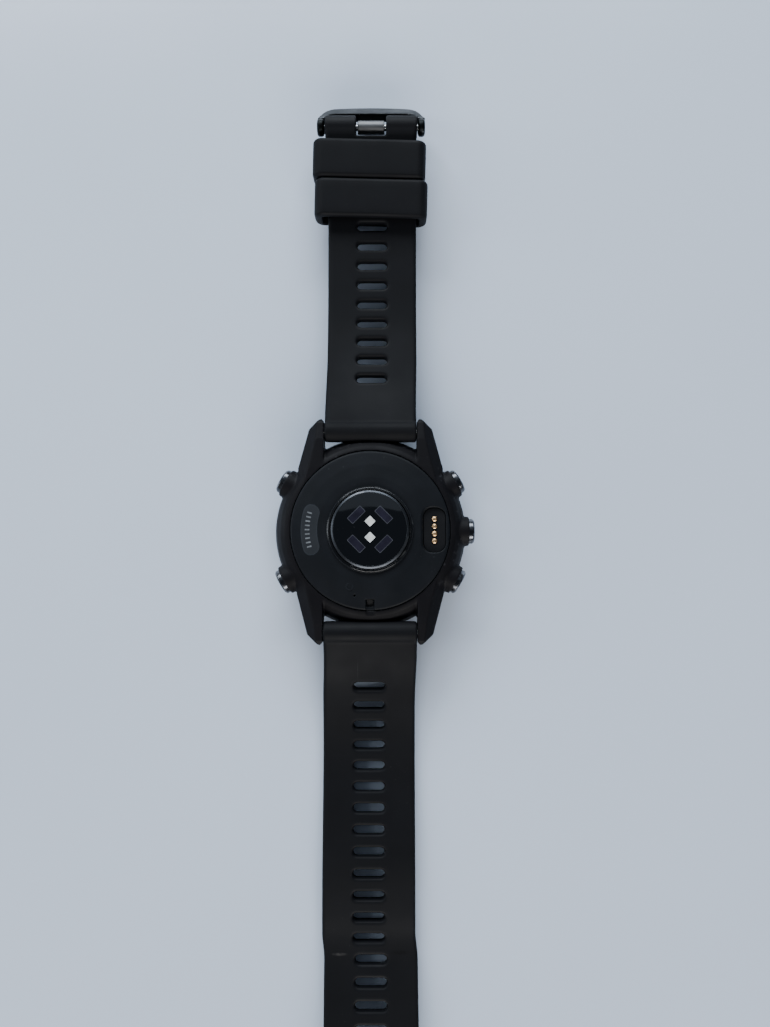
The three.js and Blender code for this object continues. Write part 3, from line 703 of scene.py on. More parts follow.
cover_cuts.append(moved(prism("vent_hole", rounded_rectangle(1.6, 1.8, 0.35), 8, 14), shift(0, VENT_Y, 0)))
cover_cuts.append(moved(round_bar("pressure_hole", 0.27, 11.4, 13.4, 24, "Z"), shift(-3.6, -15.4, 0)))
cover_polymer = finish_of(
    "cover_polymer", (0.0040, 0.0050, 0.0070), 0.55, worn=(0.05, 0.055, 0.06), wear=0.25, patches=0.14, patch_scale=210,
    spread=0.06, touch_scale=120, grain=(4600.0, 0.000014), dust=0.08, dust_scale=2600, specular=0.16,
)
cover = moulded("back_cover_plate", [cover_disc], cover_cuts, 0.15, 2)
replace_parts(wearing(cover, cover_polymer), "back_cover")
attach(cover, "case")


def cover_height(r):
    """Height of the cover's outer face at a distance from its centre."""
    if r > 15.5:
        return 12.4 - (r - 15.5) * 0.35 / 2.9
    return 12.4 + (15.5 - max(r, 12.5)) * 0.2 / 3.0


def laid_panel(name, outline, height, proud, depth, rows=9):
    """A thin panel whose face follows the surface under it; the outline is two facing rows of (x, y) points."""
    left, right = outline
    points, faces = [], []
    for level, lift in enumerate((proud, -depth)):
        for a, b in zip(left, right):
            for k in range(rows):
                x, y = a[0] + (b[0] - a[0]) * k / (rows - 1), a[1] + (b[1] - a[1]) * k / (rows - 1)
                points.append((x, y, height(hypot(x, y)) + lift))
    count = len(left)
    layer = count * rows
    for i in range(count - 1):
        for k in range(rows - 1):
            a = i * rows + k
            faces.append((a, a + 1, a + rows + 1, a + rows))
            faces.append((layer + a, layer + a + rows, layer + a + rows + 1, layer + a + 1))
        for k in (0, rows - 1):
            a = i * rows + k
            faces.append((a, a + rows, layer + a + rows, layer + a))
    for i in (0, count - 1):
        for k in range(rows - 1):
            a = i * rows + k
            faces.append((a, a + 1, layer + a + 1, layer + a))
    return mesh_of(name, points, faces, 30, merge=1e-7)


def pill_outline(middle, half_width, half_angle, side):
    """A pill curved with the rim: two rows of points from end to end."""
    left, right = [], []
    cap = half_width / middle * 180 / pi
    for k in range(41):
        a = -half_angle + 2 * half_angle * k / 40
        over = max(0.0, abs(a) - (half_angle - cap)) / cap
        w = half_width * sqrt(max(0.0, 1 - over * over))
        turn = radians(side + a)
        left.append(((middle - w) * cos(turn), (middle - w) * sin(turn)))
        right.append(((middle + w) * cos(turn), (middle + w) * sin(turn)))
    return left, right


insert_polymer = finish_of("insert_polymer", (0.004, 0.004, 0.005), 0.4, patches=0.1, specular=0.4)
panel_rim = finish_of("panel_rim", (0.020, 0.0235, 0.029), 0.45, patches=0.1, specular=0.3)
mark_ink = finish_of("mark_ink", (0.12, 0.13, 0.14), 0.5, patches=0.3, patch_scale=900, specular=0.3)
faint_mark = finish_of("faint_mark", (0.0070, 0.0084, 0.0108), 0.5, patches=0.2, patch_scale=900, specular=0.2)
panel_polymer = finish_of(
    "panel_polymer", (0.0088, 0.0106, 0.0140), 0.45, patches=0.08, spread=0.05, grain=(7000.0, 0.000004), dust=0.12,
    dust_scale=2600,
)
PANEL_CIRCLE = 14.4
panel_edge = laid_panel("panel_edge", pill_outline(PANEL_CIRCLE, 1.95, 24.2, 180), cover_height, 0.012, 0.2)
panel = laid_panel("rating_panel", pill_outline(PANEL_CIRCLE, 1.75, 23.4, 180), cover_height, 0.03, 0.2)
wearing(panel_edge, panel_rim)
wearing(panel, panel_polymer)
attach(panel_edge, "case")
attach(panel, "case")
dash_place = (PANEL_CIRCLE, 0, cover_height(PANEL_CIRCLE) + 0.02)
dashes = blocks("rating_panel_dashes", [(dash_place, (1.9, 0.36, 0.04), 180 + k * 3.9) for k in range(-4, 5)])
wearing(dashes, mark_ink)
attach(dashes, "case")

ring = [(0.62, 12.3), (0.92, 12.3), (0.92, 12.535, 0.02), (0.62, 12.535, 0.02)]
port_mark = moved(turned("port_mark", ring, closed=True, steps=48), shift(-4.8, -13.3, 0))
wearing(port_mark, faint_mark)
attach(port_mark, "case")

gilt = finish_of(
    "gilt", (0.95, 0.62, 0.33), 0.36, worn=(0.8, 0.7, 0.6), wear=0.4, patches=0.1, patch_scale=1200, metallic=1.0,
    grain=(9000.0, 0.000003),
)
pin_profile = [
    (0, 9.9), (0.65, 9.9), (0.65, 11.6, 0.1), (0.58, 11.75, 0.1), (0.42, 11.88, 0.1), (0.22, 11.94, 0.1), (0, 11.95),
]
for number, y in enumerate(contact_ys, 1):
    pin = moved(turned(f"charge_contact_{number}", pin_profile, steps=40), shift(SOCKET_X, y, 0))
    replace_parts(wearing(pin, gilt), f"charge_pin_{number}")
    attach(pin, "case")
refinish(insert_polymer, "contact_insert")
refinish(seal_rubber, "back_gasket", "vent_membrane")

# ---------------------------------------------------------------- optical sensor
# A domed window of black glass in a gloss ring. Two clear white light windows are set in it
# cornerwise, with four smoky windows for the photodiodes round them, ground flush with the dome.
DOME_RADIUS = 8.6
WINDOW_RADIUS = 9.25
SENSOR_TOP_Z = 14.05


def dome_height(r):
    """Height of the window's outer face at a distance from its centre."""
    return SENSOR_TOP_Z - 0.4 * (r / DOME_RADIUS) ** 2.6


black_glass = finish_of(
    "black_glass", (0.0012, 0.0016, 0.0026), 0.07, patches=0.05, spread=0.03, touch_scale=180, grain=(260.0, 0.0000008),
    dust=0.1, dust_scale=2600, specular=0.6, coat=0.5, coat_roughness=0.03,
)
gloss_black = finish_of(
    "gloss_black", (0.002, 0.0022, 0.003), 0.22, worn=(0.12, 0.12, 0.12), wear=0.2, patches=0.08, spread=0.05,
    grain=(3000.0, 0.000002), dust=0.1, dust_scale=2600,
)
dome = [(r, dome_height(r)) for r in [DOME_RADIUS * k / 14 for k in range(15)]]
window = turned("sensor_dome", dome + [(8.62, 13.5), (8.62, 12.35), (0, 12.35)], steps=160)
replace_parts(wearing(window, black_glass), "sensor_window")
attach(window, "case")
dark_bevel = finish_of(
    "dark_bevel", (0.055, 0.060, 0.068), 0.42, worn=(0.2, 0.2, 0.21), wear=0.4, patches=0.1, patch_scale=500,
    grain=(5200.0, 0.000003), metallic=1.0, dust=0.05, dust_scale=2600,
)
window_bevel = turned(
    "sensor_window_bevel",
    [
        (8.62, 12.5), (8.62, 13.66, 0.05), (8.8, 13.64, 0.05), (9.2, 13.38, 0.06), (WINDOW_RADIUS, 13.25),
        (WINDOW_RADIUS, 12.5),
    ],
    closed=True,
    steps=160,
)
wearing(window_bevel, dark_bevel)
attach(window_bevel, "case")
sensor_ring = turned(
    "sensor_bezel",
    [
        (8.5, 12.3), (8.5, 11.8), (9.5, 11.8), (9.5, 12.65), (10.25, 12.65), (10.25, 12.9, 0.1), (9.9, 13.25, 0.25),
        (9.45, 13.35, 0.06), (9.35, 13.1, 0.05), (9.35, 12.3),
    ],
    closed=True,
    steps=160,
)
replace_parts(wearing(sensor_ring, gloss_black), "sensor_ring")
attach(sensor_ring, "case")

light_window = finish_of(
    "light_window", (0.62, 0.63, 0.62), 0.2, patches=0.14, patch_scale=900, grain=(2500.0, 0.000004), coat=0.5
)
diode_window = finish_of(
    "diode_window", (0.011, 0.010, 0.019), 0.14, patches=0.25, patch_scale=500, grain=(900.0, 0.000002), coat=0.6
)
diode_frame = finish_of(
    "diode_frame", (0.045, 0.047, 0.058), 0.25, patches=0.2, patch_scale=700, grain=(2500.0, 0.000003), coat=0.3
)


def flush_window(name, width, height, place, degrees, proud):
    """A small window with its face on the dome."""
    c, s = cos(radians(degrees)), sin(radians(degrees))

    def at(x, y):
        return (place[0] + x * c - y * s, place[1] + x * s + y * c)

    left, right = [], []
    corner = 0.16
    for k in range(25):
        y = -height / 2 + height * k / 24
        short = max(0.0, abs(y) - (height / 2 - corner)) / corner
        w = width / 2 - corner * (1 - sqrt(max(0.0, 1 - short * short)))
        left.append(at(-w, y))
        right.append(at(w, y))
    return laid_panel(name, (left, right), dome_height, proud, 0.25)


for name, side in (("upper", 1), ("lower", -1)):
    lit = flush_window(f"light_window_{name}", 1.85, 1.85, (0, side * 1.88), 45, 0.012)
    wearing(lit, light_window)
    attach(lit, "case")
for number, (sx, sy) in enumerate(((-1, 1), (1, 1), (-1, -1), (1, -1)), 1):
    where, degrees = (sx * 3.2, sy * 3.4), -sx * sy * 45
    rim = flush_window(f"diode_frame_{number}", 4.3, 1.95, where, degrees, 0.008)
    pane = flush_window(f"diode_window_{number}", 4.0, 1.65, where, degrees, 0.014)
    wearing(rim, diode_frame)
    wearing(pane, diode_window)
    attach(rim, "case")
    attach(pane, "case")
refinish(light_window, "sensor_led_upper", "sensor_led_lower")
refinish(diode_window, *(f"photodiode_{number}" for number in range(1, 5)))

# ---------------------------------------------------------------- spring bars
# Stainless steel tubes with a sprung tip at each end, pushed through the strap's barrels and
# snapped into holes in the lugs. Only the shouldered tips show beside the strap.
refinish(bright_steel, "spring_bar_buckle_side", "spring_bar_tail_side")
tip_profile = [
    (0, 6.5), (0.5, 6.5), (0.5, 10.6), (0.85, 10.6, 0.05), (0.85, 10.9, 0.05), (0.5, 10.9), (0.5, 12.1, 0.1),
    (0.3, 12.3, 0.08), (0, 12.3),
]
for end, side in (("buckle_side", 1), ("tail_side", -1)):
    for hand, turn in (("right", 1), ("left", -1)):
        tip = turned(f"bar_tip_{end}_{hand}", tip_profile, steps=32)
        moved(tip, shift(0, side * PIN_Y, PIN_Z) @ spin(90 * turn, "Y"))
        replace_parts(wearing(tip, bright_steel), f"spring_bar_tip_{end}_{hand}")
        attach(tip, f"bar_tip_{end}_{hand}")

# ---------------------------------------------------------------- buckle half of the strap
# One compression moulding of matt silicone rubber with eleven slots, a barrel and heel round the
# spring bar and two knuckles round the buckle pin. Its edges are round and it takes a soft curl.
STRAP_WIDTH = 22.1
STRAP_THICKNESS = 2.6
SIDE_RADIUS = 0.8
STRAP_GRAIN = 0.23
SLOT_LENGTH, SLOT_WIDTH = 7.5, 2
SLOT_PITCH, FIRST_SLOT = 4.95, 13.6
BUCKLE_PIN_Y, BUCKLE_PIN_Z = 101.6, 9
STRAIGHT_FROM = (77, 6.1)
straight_rise = (BUCKLE_PIN_Z - STRAIGHT_FROM[1]) / (BUCKLE_PIN_Y - STRAIGHT_FROM[0])


def straight_z(y):
    return STRAIGHT_FROM[1] + (y - STRAIGHT_FROM[0]) * straight_rise


class StrapLine:
    """The middle line of a strap half through (y, z) points, measured by the distance along it.
    sways are (distance, x) points: how far the strap lies to one side."""

    def __init__(self, points, sways):
        self.sways = sways
        ends = [Vector(p) for p in points]
        ends = [2 * ends[0] - ends[1]] + ends + [2 * ends[-1] - ends[-2]]
        line = []
        for i in range(1, len(ends) - 2):
            a, b, c, d = ends[i - 1 : i + 3]
            t0, t1, t2 = ((q - p).length ** 0.5 for p, q in ((a, b), (b, c), (c, d)))
            m1 = ((b - a) / t0 - (c - a) / (t0 + t1) + (c - b) / t1) * t1
            m2 = ((c - b) / t1 - (d - b) / (t1 + t2) + (d - c) / t2) * t1
            for k in range(60):
                t = k / 60
                line.append(b + m1 * t + (-3 * b + 3 * c - 2 * m1 - m2) * t**2 + (2 * b - 2 * c + m1 + m2) * t**3)
        line.append(ends[-2])
        self.line, self.marks = line, [0.0]
        for p, q in zip(line, line[1:]):
            self.marks.append(self.marks[-1] + (q - p).length)
        self.length = self.marks[-1]

    def at(self, distance):
        """(place, direction) at a distance, running straight on past either end."""
        low, high = 0, len(self.marks) - 1
        while high - low > 1:
            middle = (low + high) // 2
            if self.marks[middle] <= distance:
                low = middle
            else:
                high = middle
        along = (self.line[high] - self.line[low]).normalized()
        share = (distance - self.marks[low]) / (self.marks[high] - self.marks[low])
        smooth = (self.line[min(high + 6, len(self.line) - 1)] - self.line[max(low - 6, 0)]).normalized()
        inside = 0 <= share <= 1
        place = self.line[low] + along * (distance - self.marks[low])
        return place, smooth if inside else along

    def sway(self, distance):
        for (s0, x0), (s1, x1) in zip(self.sways, self.sways[1:]):
            if distance <= s1:
                t = max(0.0, (distance - s0) / (s1 - s0))
                return x0 + (x1 - x0) * t * t * (3 - 2 * t)
        return self.sways[-1][1]


buckle_line = StrapLine(
    [
        (PIN_Y, PIN_Z), (30, 8.1), (37, 6.7), (44, 5.6), (51, 4.9), (57, 4.8), (64, 5.1), (70, 5.5), STRAIGHT_FROM,
        (89, straight_z(89)), (BUCKLE_PIN_Y, BUCKLE_PIN_Z),
    ],
    [(5, 0), (20, 0.28), (52, 0.28), (68, 0)],
)


def root_thickness(s):
    """Half the strap's thickness: thick where it leaves the spring bar, then even."""
    return STRAP_THICKNESS / 2 + 0.75 * max(0.0, 1 - s / 14) ** 2


def on_line(line, x, s, h):
    place, along = line.at(s)
    return (x + line.sway(s), place.x - along.y * h, place.y + along.x * h)


def strip(name, line, edge, half_thickness, radius):
    """A strip with rounded sides: edge is its right side as (x, s, outward x, outward s) from one end to the other."""
    turns = [-90 + 22.5 * k for k in range(5)] + [22.5 * k for k in range(5)]
    rings = []
    for x, s, nx, ns in edge:
        right, left = [], []
        for number, turn in enumerate(turns):
            inward = radius * (1 - cos(radians(turn)))
            px, ps = max(0.0, x - inward * nx), s - inward * ns
            h = half_thickness(ps)
            rise = (-1 if number < 5 else 1) * (h - radius) + radius * sin(radians(turn))
            right.append(on_line(line, px, ps, rise))
            left.append(on_line(line, -px, ps, rise))
        rings.append(right + left[::-1])
    count = len(rings[0])
    points = [p for ring in rings for p in ring]
    faces = [tuple(range(count))]
    for i in range(len(rings) - 1):
        for j in range(count):
            k = (j + 1) % count
            faces.append((i * count + j, i * count + k, (i + 1) * count + k, (i + 1) * count + j))
    if edge[-1][0] > 0:
        faces.append(tuple(range(len(points) - count, len(points))))
    return mesh_of(name, points, faces)


def slot_cutters(line, places):
    """Stadium-shaped slots square to the line, with rounded mouths on both faces."""

    def stadium(grow):
        half, r = (SLOT_LENGTH - SLOT_WIDTH) / 2, SLOT_WIDTH / 2 + grow
        out = []
        for cx, start in ((half, -90), (-half, 90)):
            for k in range(17):
                a = radians(start + 180 * k / 16)
                out.append((cx + r * cos(a), r * sin(a)))
        return out

    mouth, top = 0.62, STRAP_THICKNESS / 2
    bow = [(top - mouth + mouth * sin(a), mouth * (1 - cos(a))) for a in (radians(15 * k) for k in range(7))]
    levels = [(-4, mouth + 0.15)] + [(-h, g) for h, g in reversed(bow)] + bow + [(4, mouth + 0.15)]
    made = []
    for s in places:
        place, along = line.at(s)
        slot = flared_cutter("slot", stadium, levels)
        moved(slot, shift(line.sway(s), place.x, place.y) @ Matrix.Rotation(atan2(along.y, along.x), 4, "X"))
        made.append(slot)
    return made


def strap_half(name, line, strap, slots, cutters):
    """A strip with the barrel round the spring bar, the heel that stops it against the case, slots and a bore."""
    barrel = at_bar(round_bar("barrel", 2.6, -STRAP_WIDTH / 2, STRAP_WIDTH / 2, 64, edge=0.5))
    heel = softened([(23.25, 5.3, 0.4), (27, 4.9, 0.8), (29, 6.4, 0.8), (25, 8), (23.25, 7, 0.4)], True)
    shells = strap + [barrel, prism("heel", heel, -10.9, 10.9, "X")]
    bores = [at_bar(round_bar("root_bore", 1, -12, 12, 32))]
    tools = slot_cutters(line, [FIRST_SLOT + SLOT_PITCH * k for k in range(slots)]) + bores + cutters
    return moulded(name, shells, tools, STRAP_GRAIN, 3)


def cut_piece(source, name, line, start, end):
    """The length of a strap half between two distances along its line, as a closed mesh of its own."""
    work = bmesh.new()
    work.from_mesh(source.data)
    for s, keep in ((start, 1), (end, -1)):
        if s is None:
            continue
        place, along = line.at(s)
        bmesh.ops.bisect_plane(
            work,
            geom=work.verts[:] + work.edges[:] + work.faces[:],
            plane_co=(0, place.x * MM, place.y * MM),
            plane_no=(0, along.x * keep, along.y * keep),
            clear_inner=True,
            dist=1e-8,
        )
        bmesh.ops.holes_fill(work, edges=[e for e in work.edges if e.is_boundary], sides=0)
    bmesh.ops.recalc_face_normals(work, faces=work.faces)
    data = bpy.data.meshes.new(name)
    work.to_mesh(data)
    work.free()
    return shaded(stood(name, data), 50)


def between_slots(n):
    return FIRST_SLOT + (n - 0.5) * SLOT_PITCH


def bend_ends(line, n, facing, reach=7):
    """Points on the strap's line either side of a joint, in metres."""
    ends = [line.at(between_slots(n) + d)[0] for d in (-reach, reach)]
    return [Vector((0, end.x * facing, end.y)) * MM for end in ends]


silicone = finish_of(
    "silicone", (0.0032, 0.0034, 0.0046), 0.62, worn=(0.02, 0.021, 0.024), wear=0.25, patches=0.14, patch_scale=110,
    spread=0.07, touch_scale=70, grain=(3400.0, 0.000012), dust=0.06, dust_scale=2600, specular=0.13,
)
KNUCKLE_RADIUS, KNUCKLE_HALF_WIDTH = 2.8, 11.55
FLARE_LENGTH = 8.5
PIN_BORE_RADIUS = 0.95
half_strap = STRAP_WIDTH / 2


def flare(s):
    """How far the strap has grown towards the knuckles, from 0 to 1."""
    t = min(1.0, max(0.0, (s - (buckle_line.length - FLARE_LENGTH)) / FLARE_LENGTH))
    return t * t * (3 - 2 * t)


def buckle_thickness(s):
    return root_thickness(s) + 1.4 * flare(s)


buckle_edge = [
    (half_strap + (KNUCKLE_HALF_WIDTH - half_strap) * flare(s), s, 1, 0)
    for s in [0.5 + (buckle_line.length - 0.5) * k / 110 for k in range(111)]
]
knuckles = round_bar("knuckles", KNUCKLE_RADIUS, -KNUCKLE_HALF_WIDTH, KNUCKLE_HALF_WIDTH, 64, edge=0.45)
pin_bore = round_bar("pin_bore", PIN_BORE_RADIUS, -13, 13, 32)
tongue_gap = prism("tongue_gap", [(-3.75, -3), (3.75, -3), (3.75, 4), (-3.75, 4)], -4, 4)
for made in (knuckles, pin_bore, tongue_gap):
    moved(made, shift(0, BUCKLE_PIN_Y, BUCKLE_PIN_Z))
strap = [strip("buckle_half", buckle_line, buckle_edge, buckle_thickness, SIDE_RADIUS), knuckles]
whole = strap_half("buckle_half", buckle_line, strap, 11, [pin_bore, tongue_gap])
split = between_slots(4)
case_end = cut_piece(whole, "buckle_strap_case_end", buckle_line, None, split)
buckle_end = cut_piece(whole, "buckle_strap_buckle_end", buckle_line, split, None)
bpy.data.objects.remove(whole)
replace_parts(wearing(case_end, silicone), "strap_buckle_1", "strap_buckle_2")
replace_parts(wearing(buckle_end, silicone), "strap_buckle_3")
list(bend_ends(buckle_line, 2, 1))
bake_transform(case_end)
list(bend_ends(buckle_line, 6, 1))
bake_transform(buckle_end)

# ---------------------------------------------------------------- keeper loops
# Two moulded loops of the same silicone, thicker at the sides, that slide on the buckle half and
# hold the free end. All their edges are generously rounded, so a groove shows between them.
KEEPER_WIDTH, KEEPER_HEIGHT, KEEPER_LENGTH = 28.2, 8.4, 9.5
KEEPER_WALL, KEEPER_SIDE_WALL = 1.5, 2
KEEPER_SKEW = -1.4


def loop(name):
    """A rounded loop about Y, its wall's cross-section rounded at all four corners."""
    bend, flat = 10, 12

    def divided(width, height, radius):
        path = [Vector(p) for p in rounded_rectangle(width, height, radius, bend)]
        out = []
        for i, point in enumerate(path):
            pieces = flat if i % (bend + 1) == bend else 1
            out += [tuple(point.lerp(path[(i + 1) % len(path)], k / pieces)) for k in range(pieces)]
        return out

    outer = divided(KEEPER_WIDTH, KEEPER_HEIGHT, 2.4)
    inner = divided(KEEPER_WIDTH - 2 * KEEPER_SIDE_WALL, KEEPER_HEIGHT - 2 * KEEPER_WALL, 1.0)
    half = KEEPER_LENGTH / 2
    section = []
    for side, radius in ((1, 1.05), (-1, 0.35)):
        for turn in range(0, 91, 15):
            a = radians(turn)
            section.append((side, radius * (1 - cos(a)), half - radius + radius * sin(a)))
    outside, inside = section[:7], section[7:]
    ring = outside + [(s, d, y) for s, d, y in reversed(inside)]
    ring += [(s, d, -y) for s, d, y in inside] + [(s, d, -y) for s, d, y in reversed(outside)]
    points, faces = [], []
    for (ox, oz), (ix, iz) in zip(outer, inner):
        wall = Vector((ix - ox, iz - oz))
        for side, deep, y in ring:
            p = Vector((ox, oz)) + wall.normalized() * deep if side > 0 else Vector((ix, iz)) - wall.normalized() * deep
            points.append((p.x, y, p.y))
    count, around = len(ring), len(outer)
    for i in range(around):
        for j in range(count):
            k, n = (j + 1) % count, (i + 1) % around
            faces.append((i * count + j, i * count + k, n * count + k, n * count + j))
    return mesh_of(name, points, faces, 60)


for name, x, y in (("outer", -0.4, 92.65), ("inner", 0, 83)):
    keeper = loop(f"keeper_loop_{name}")
    crown = keeper.modifiers.new("rounding", "SUBSURF")
    crown.levels = crown.render_levels = 1
    settled(keeper)
    moved(keeper, shift(x, y, straight_z(y)) @ Matrix.Rotation(atan(straight_rise), 4, "X") @ spin(KEEPER_SKEW))
    shaded(keeper, 60)
    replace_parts(wearing(keeper, silicone), f"keeper_{name}")
    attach(keeper, f"{name}_keeper")

# ---------------------------------------------------------------- buckle
# A cast and tumbled steel frame with a dark satin coating, a bead-blasted steel tongue with a tube
# round the pin, and a straight pin held in the frame's polished eyelets.
BUCKLE_DROOP = -38
FRAME_INNER_X, FRAME_OUTER_X, FRAME_REACH = 11.75, 13.55, 10.6
METAL_GRAIN = 0.12
at_pin = shift(0, BUCKLE_PIN_Y, BUCKLE_PIN_Z) @ Matrix.Rotation(radians(BUCKLE_DROOP), 4, "X")


def bezier(points, pieces=12):
    """Points on a quadratic or cubic curve, without its first."""
    out = []
    for k in range(1, pieces + 1):
        t, level = k / pieces, [Vector(p) for p in points]
        while len(level) > 1:
            level = [a.lerp(b, t) for a, b in zip(level, level[1:])]
        out.append(tuple(level[0]))
    return out


fi, fo = FRAME_INNER_X, FRAME_OUTER_X
frame_plan = [(-fo, -2.1), (-fi, -2.1), (-fi, 3.2)]
frame_plan += bezier([(-fi, 3.2), (-10.8, 4.8), (-10.4, 5.5), (-8.8, 5.6)]) + bezier([(-8.8, 5.6), (0, 6), (8.8, 5.6)])
frame_plan += bezier([(8.8, 5.6), (10.4, 5.5), (10.8, 4.8), (fi, 3.2)]) + [(fi, -2.1), (fo, -2.1), (fo, 2.4)]
frame_plan += bezier([(fo, 2.4), (12.2, 5.8), (12.2, 9.4), (8.5, 10)])
frame_plan += bezier([(8.5, 10), (0, 2 * FRAME_REACH - 10), (-8.5, 10)])
frame_plan += bezier([(-8.5, 10), (-12.2, 9.4), (-12.2, 5.8), (-fo, 2.4)])[:-1]
frame_side = [
    (-2.1, -0.9, 0.6), (-0.9, -2.1, 0.6), (0.9, -2.1, 0.6), (2.4, -1.2, 1), (7, -0.7, 2), (11.8, -0.7), (11.8, 0.9),
    (7, 1.3, 2), (3, 1.5, 1), (0.9, 2.1, 0.6), (-0.9, 2.1, 0.6), (-2.1, 0.9, 0.6),
]
buckle_frame = prism("buckle_arch", frame_plan, -3, 3)
combined(buckle_frame, prism("side", softened(frame_side, True), -15, 15, "X"), "INTERSECT")
eyelets = []
for side in (1, -1):
    square_end = prism("square_end", [(side * a, b) for a, b in ((11, -3), (14, -3), (14, 1), (11, 1))], -4, 4)
    combined(buckle_frame, square_end, "DIFFERENCE")
    eyelets.append(moved(round_bar("eyelet", 2.1, fi, fo, 48, edge=0.8), Matrix.Diagonal((side, 1, 1, 1))))
buckle_frame = fused(gathered("buckle_arch", [buckle_frame] + eyelets), METAL_GRAIN)
combined(buckle_frame, round_bar("bore", PIN_BORE_RADIUS, -15, 15, 32), "DIFFERENCE")
shaded(eased(fused(buckle_frame, METAL_GRAIN), 6), 55)
moved(buckle_frame, at_pin)
satin_gunmetal = finish_of(
    "satin_gunmetal", (0.0105, 0.0118, 0.0120), 0.44, worn=(0.30, 0.30, 0.31), wear=0.6, patches=0.1, patch_scale=180,
    spread=0.07, touch_scale=140, grain=(2600.0, 0.000004), along=(0.1, 1, 1), metallic=1.0, dust=0.3,
)
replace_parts(wearing(buckle_frame, satin_gunmetal), "buckle_frame")
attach(buckle_frame, "frame_of_buckle")

blasted_steel = finish_of(
    "blasted_steel", (0.135, 0.137, 0.14), 0.55, worn=(0.26, 0.26, 0.26), wear=0.5, patches=0.08, patch_scale=220,
    spread=0.06, touch_scale=200, grain=(7000.0, 0.000006), metallic=1.0, dust=0.2,
)
TONGUE_HALF_WIDTH, TONGUE_GRAIN = 3.35, 0.11
blade = [
    (0, -1.6), (2, -1.75, 1), (10.2, -1.75, 0.2), (10.8, -1.4, 0.1), (10.8, -1.1, 0.1), (10.2, -0.95, 0.2),
    (5.5, -0.95, 1), (4.3, 0.1, 0.6), (0.8, 1.35, 1), (0, 1.5),
]
tube = round_bar("tube", 1.6, -TONGUE_HALF_WIDTH, TONGUE_HALF_WIDTH, 48, edge=0.2)
blade = prism("blade", softened(blade, True), -TONGUE_HALF_WIDTH, TONGUE_HALF_WIDTH, "X")
tongue = fused(gathered("buckle_tongue_and_tube", [tube, blade]), TONGUE_GRAIN)
combined(tongue, round_bar("bore", PIN_BORE_RADIUS, -5, 5, 32), "DIFFERENCE")
shaded(eased(fused(tongue, TONGUE_GRAIN), 3), 50)
moved(tongue, at_pin)
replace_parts(wearing(tongue, blasted_steel), "buckle_tongue")
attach(tongue, "tongue_of_buckle")

buckle_pin = round_bar("buckle_cross_pin", 0.8, -13.5, 13.5, 40, edge=0.15)
moved(buckle_pin, at_pin)
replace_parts(wearing(buckle_pin, bright_steel), "buckle_pin")
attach(buckle_pin, "buckle_strap_end")

# ---------------------------------------------------------------- tail half of the strap
# The longer moulding of the same silicone, with twenty slots and a round tip. It is kinked where it has been
# bent back through the buckle again and again; painted highlight and painted shade lie either side of the kink.
tail_line = StrapLine(
    [
        (PIN_Y, PIN_Z), (30, 7.1), (36.5, 4.6), (43, 2.8), (50, 1.6), (57, 1.2), (64, 1.5), (72, 2.1), (81, 2.5),
        (90, 2.1), (96, 1.5), (100, 1.6), (106, 2.4), (114, 3.6), (124, 5.3), (136.8, 8),
    ],
    [(5, 0), (18, -0.34), (72, -0.34), (78, 0.2), (114, 0.45)],
)
TIP_LENGTH = 8.5
tip_starts = tail_line.length - TIP_LENGTH
tail_edge = [(half_strap, 0.5 + (tip_starts - 0.5) * k / 140, 1, 0) for k in range(141)]
tip_ends = tail_line.length
tip = bezier([(half_strap, tip_starts), (half_strap, tip_ends - 2), (7, tip_ends), (0, tip_ends)], 40)
for before, here, after in zip([tail_edge[-1][:2]] + tip, tip, tip[1:] + [(-tip[-2][0], tip[-2][1])]):
    across = Vector((after[0] - before[0], after[1] - before[1])).normalized()
    tail_edge.append((here[0], here[1], across.y, -across.x))
strap = [strip("tail_half", tail_line, tail_edge, root_thickness, SIDE_RADIUS)]
whole = strap_half("tail_half", tail_line, strap, 20, [])
silicone_painted_kink_light = silicone.copy()
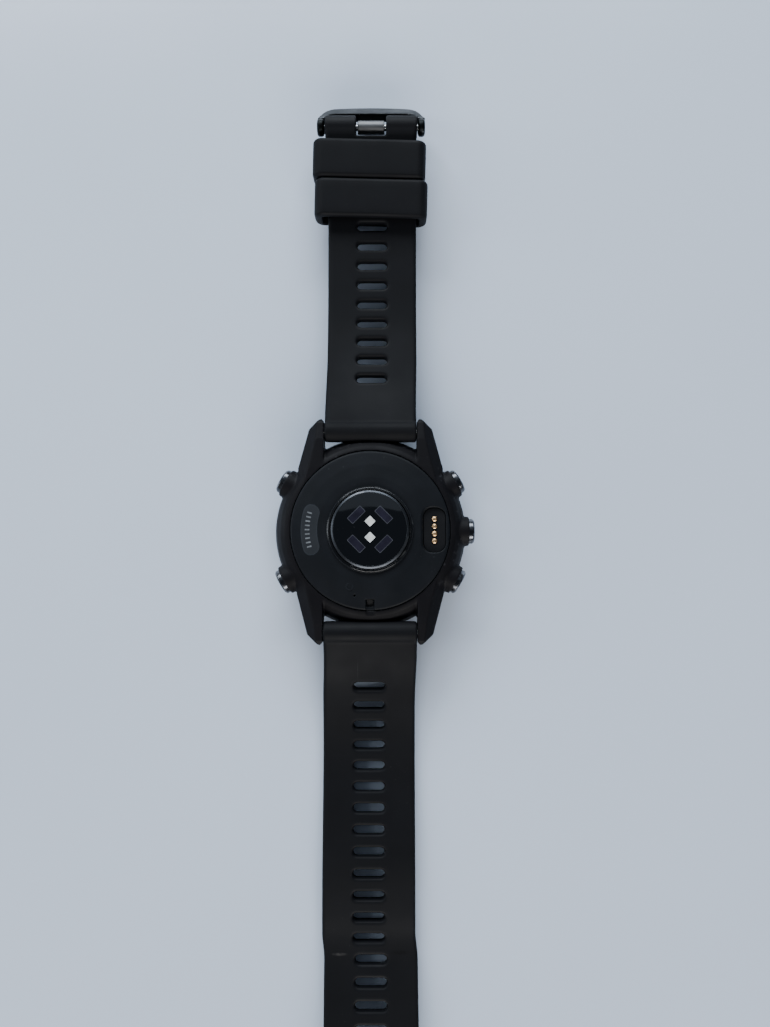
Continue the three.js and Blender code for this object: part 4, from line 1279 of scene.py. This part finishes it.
silicone_painted_kink_light.name = "silicone_painted_kink_light"
nodes, links = silicone_painted_kink_light.node_tree.nodes, silicone_painted_kink_light.node_tree.links
shader = nodes["Principled BSDF"]
# Painted light across the kink: a lighter patch on its left side is painted highlight and a near-black patch on its
# right side is painted shade. A thin lighter streak lies near the root.
kink_light_and_streak = [
    ((-7.2, -99.3), (2.1, 0.42), (0.030, 0.028, 0.028)),
    ((7.0, -98.9), (2.5, 0.6), (0.0004, 0.0004, 0.0005)),
    ((-3.0, -33.4), (0.12, 3.2), (0.014, 0.014, 0.016)),
]
for (x, y), (reach_x, reach_y), tone in kink_light_and_streak:
    place = nodes.new("ShaderNodeTexCoord")
    near = nodes.new("ShaderNodeMapping")
    near.vector_type = "POINT"
    near.inputs["Location"].default_value = (-x / reach_x, -y / reach_y, 0)
    near.inputs["Scale"].default_value = (1 / (reach_x * MM), 1 / (reach_y * MM), 0)
    links.new(place.outputs["Object"], near.inputs["Vector"])
    far = nodes.new("ShaderNodeVectorMath")
    far.operation = "LENGTH"
    links.new(near.outputs["Vector"], far.inputs[0])
    inside = ranged(nodes, links, far.outputs["Value"], 0.35, 1.0, 1.0, 0.0)
    broken = ranged(nodes, links, noise_of(nodes, links, 1400.0, 4.0), 0.35, 0.6, 0.35, 1.0)
    mix = nodes.new("ShaderNodeMix")
    mix.data_type = "RGBA"
    links.new(times(nodes, links, inside, broken), mix.inputs["Factor"])
    links.new(shader.inputs["Base Color"].links[0].from_socket, mix.inputs["A"])
    mix.inputs["B"].default_value = (*tone, 1)
    links.new(mix.outputs["Result"], shader.inputs["Base Color"])
splits = [None] + [between_slots(n) for n in (4, 8, 12)] + [None]
lengths = []
for n, (start, end) in enumerate(zip(splits, splits[1:]), 1):
    lengths.append(cut_piece(whole, f"tail_strap_length_{n}", tail_line, start, end))
bpy.data.objects.remove(whole)
for n, made in enumerate(lengths):
    moved(made, Matrix.Diagonal((1, -1, 1, 1)))
    nodes_here = ["strap_tail_1", "strap_tail_2"] if n == 0 else [f"strap_tail_{n + 2}"]
    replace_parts(wearing(made, silicone_painted_kink_light), *nodes_here)
    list(bend_ends(tail_line, (2, 6, 10, 15)[n], -1))
    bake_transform(made)
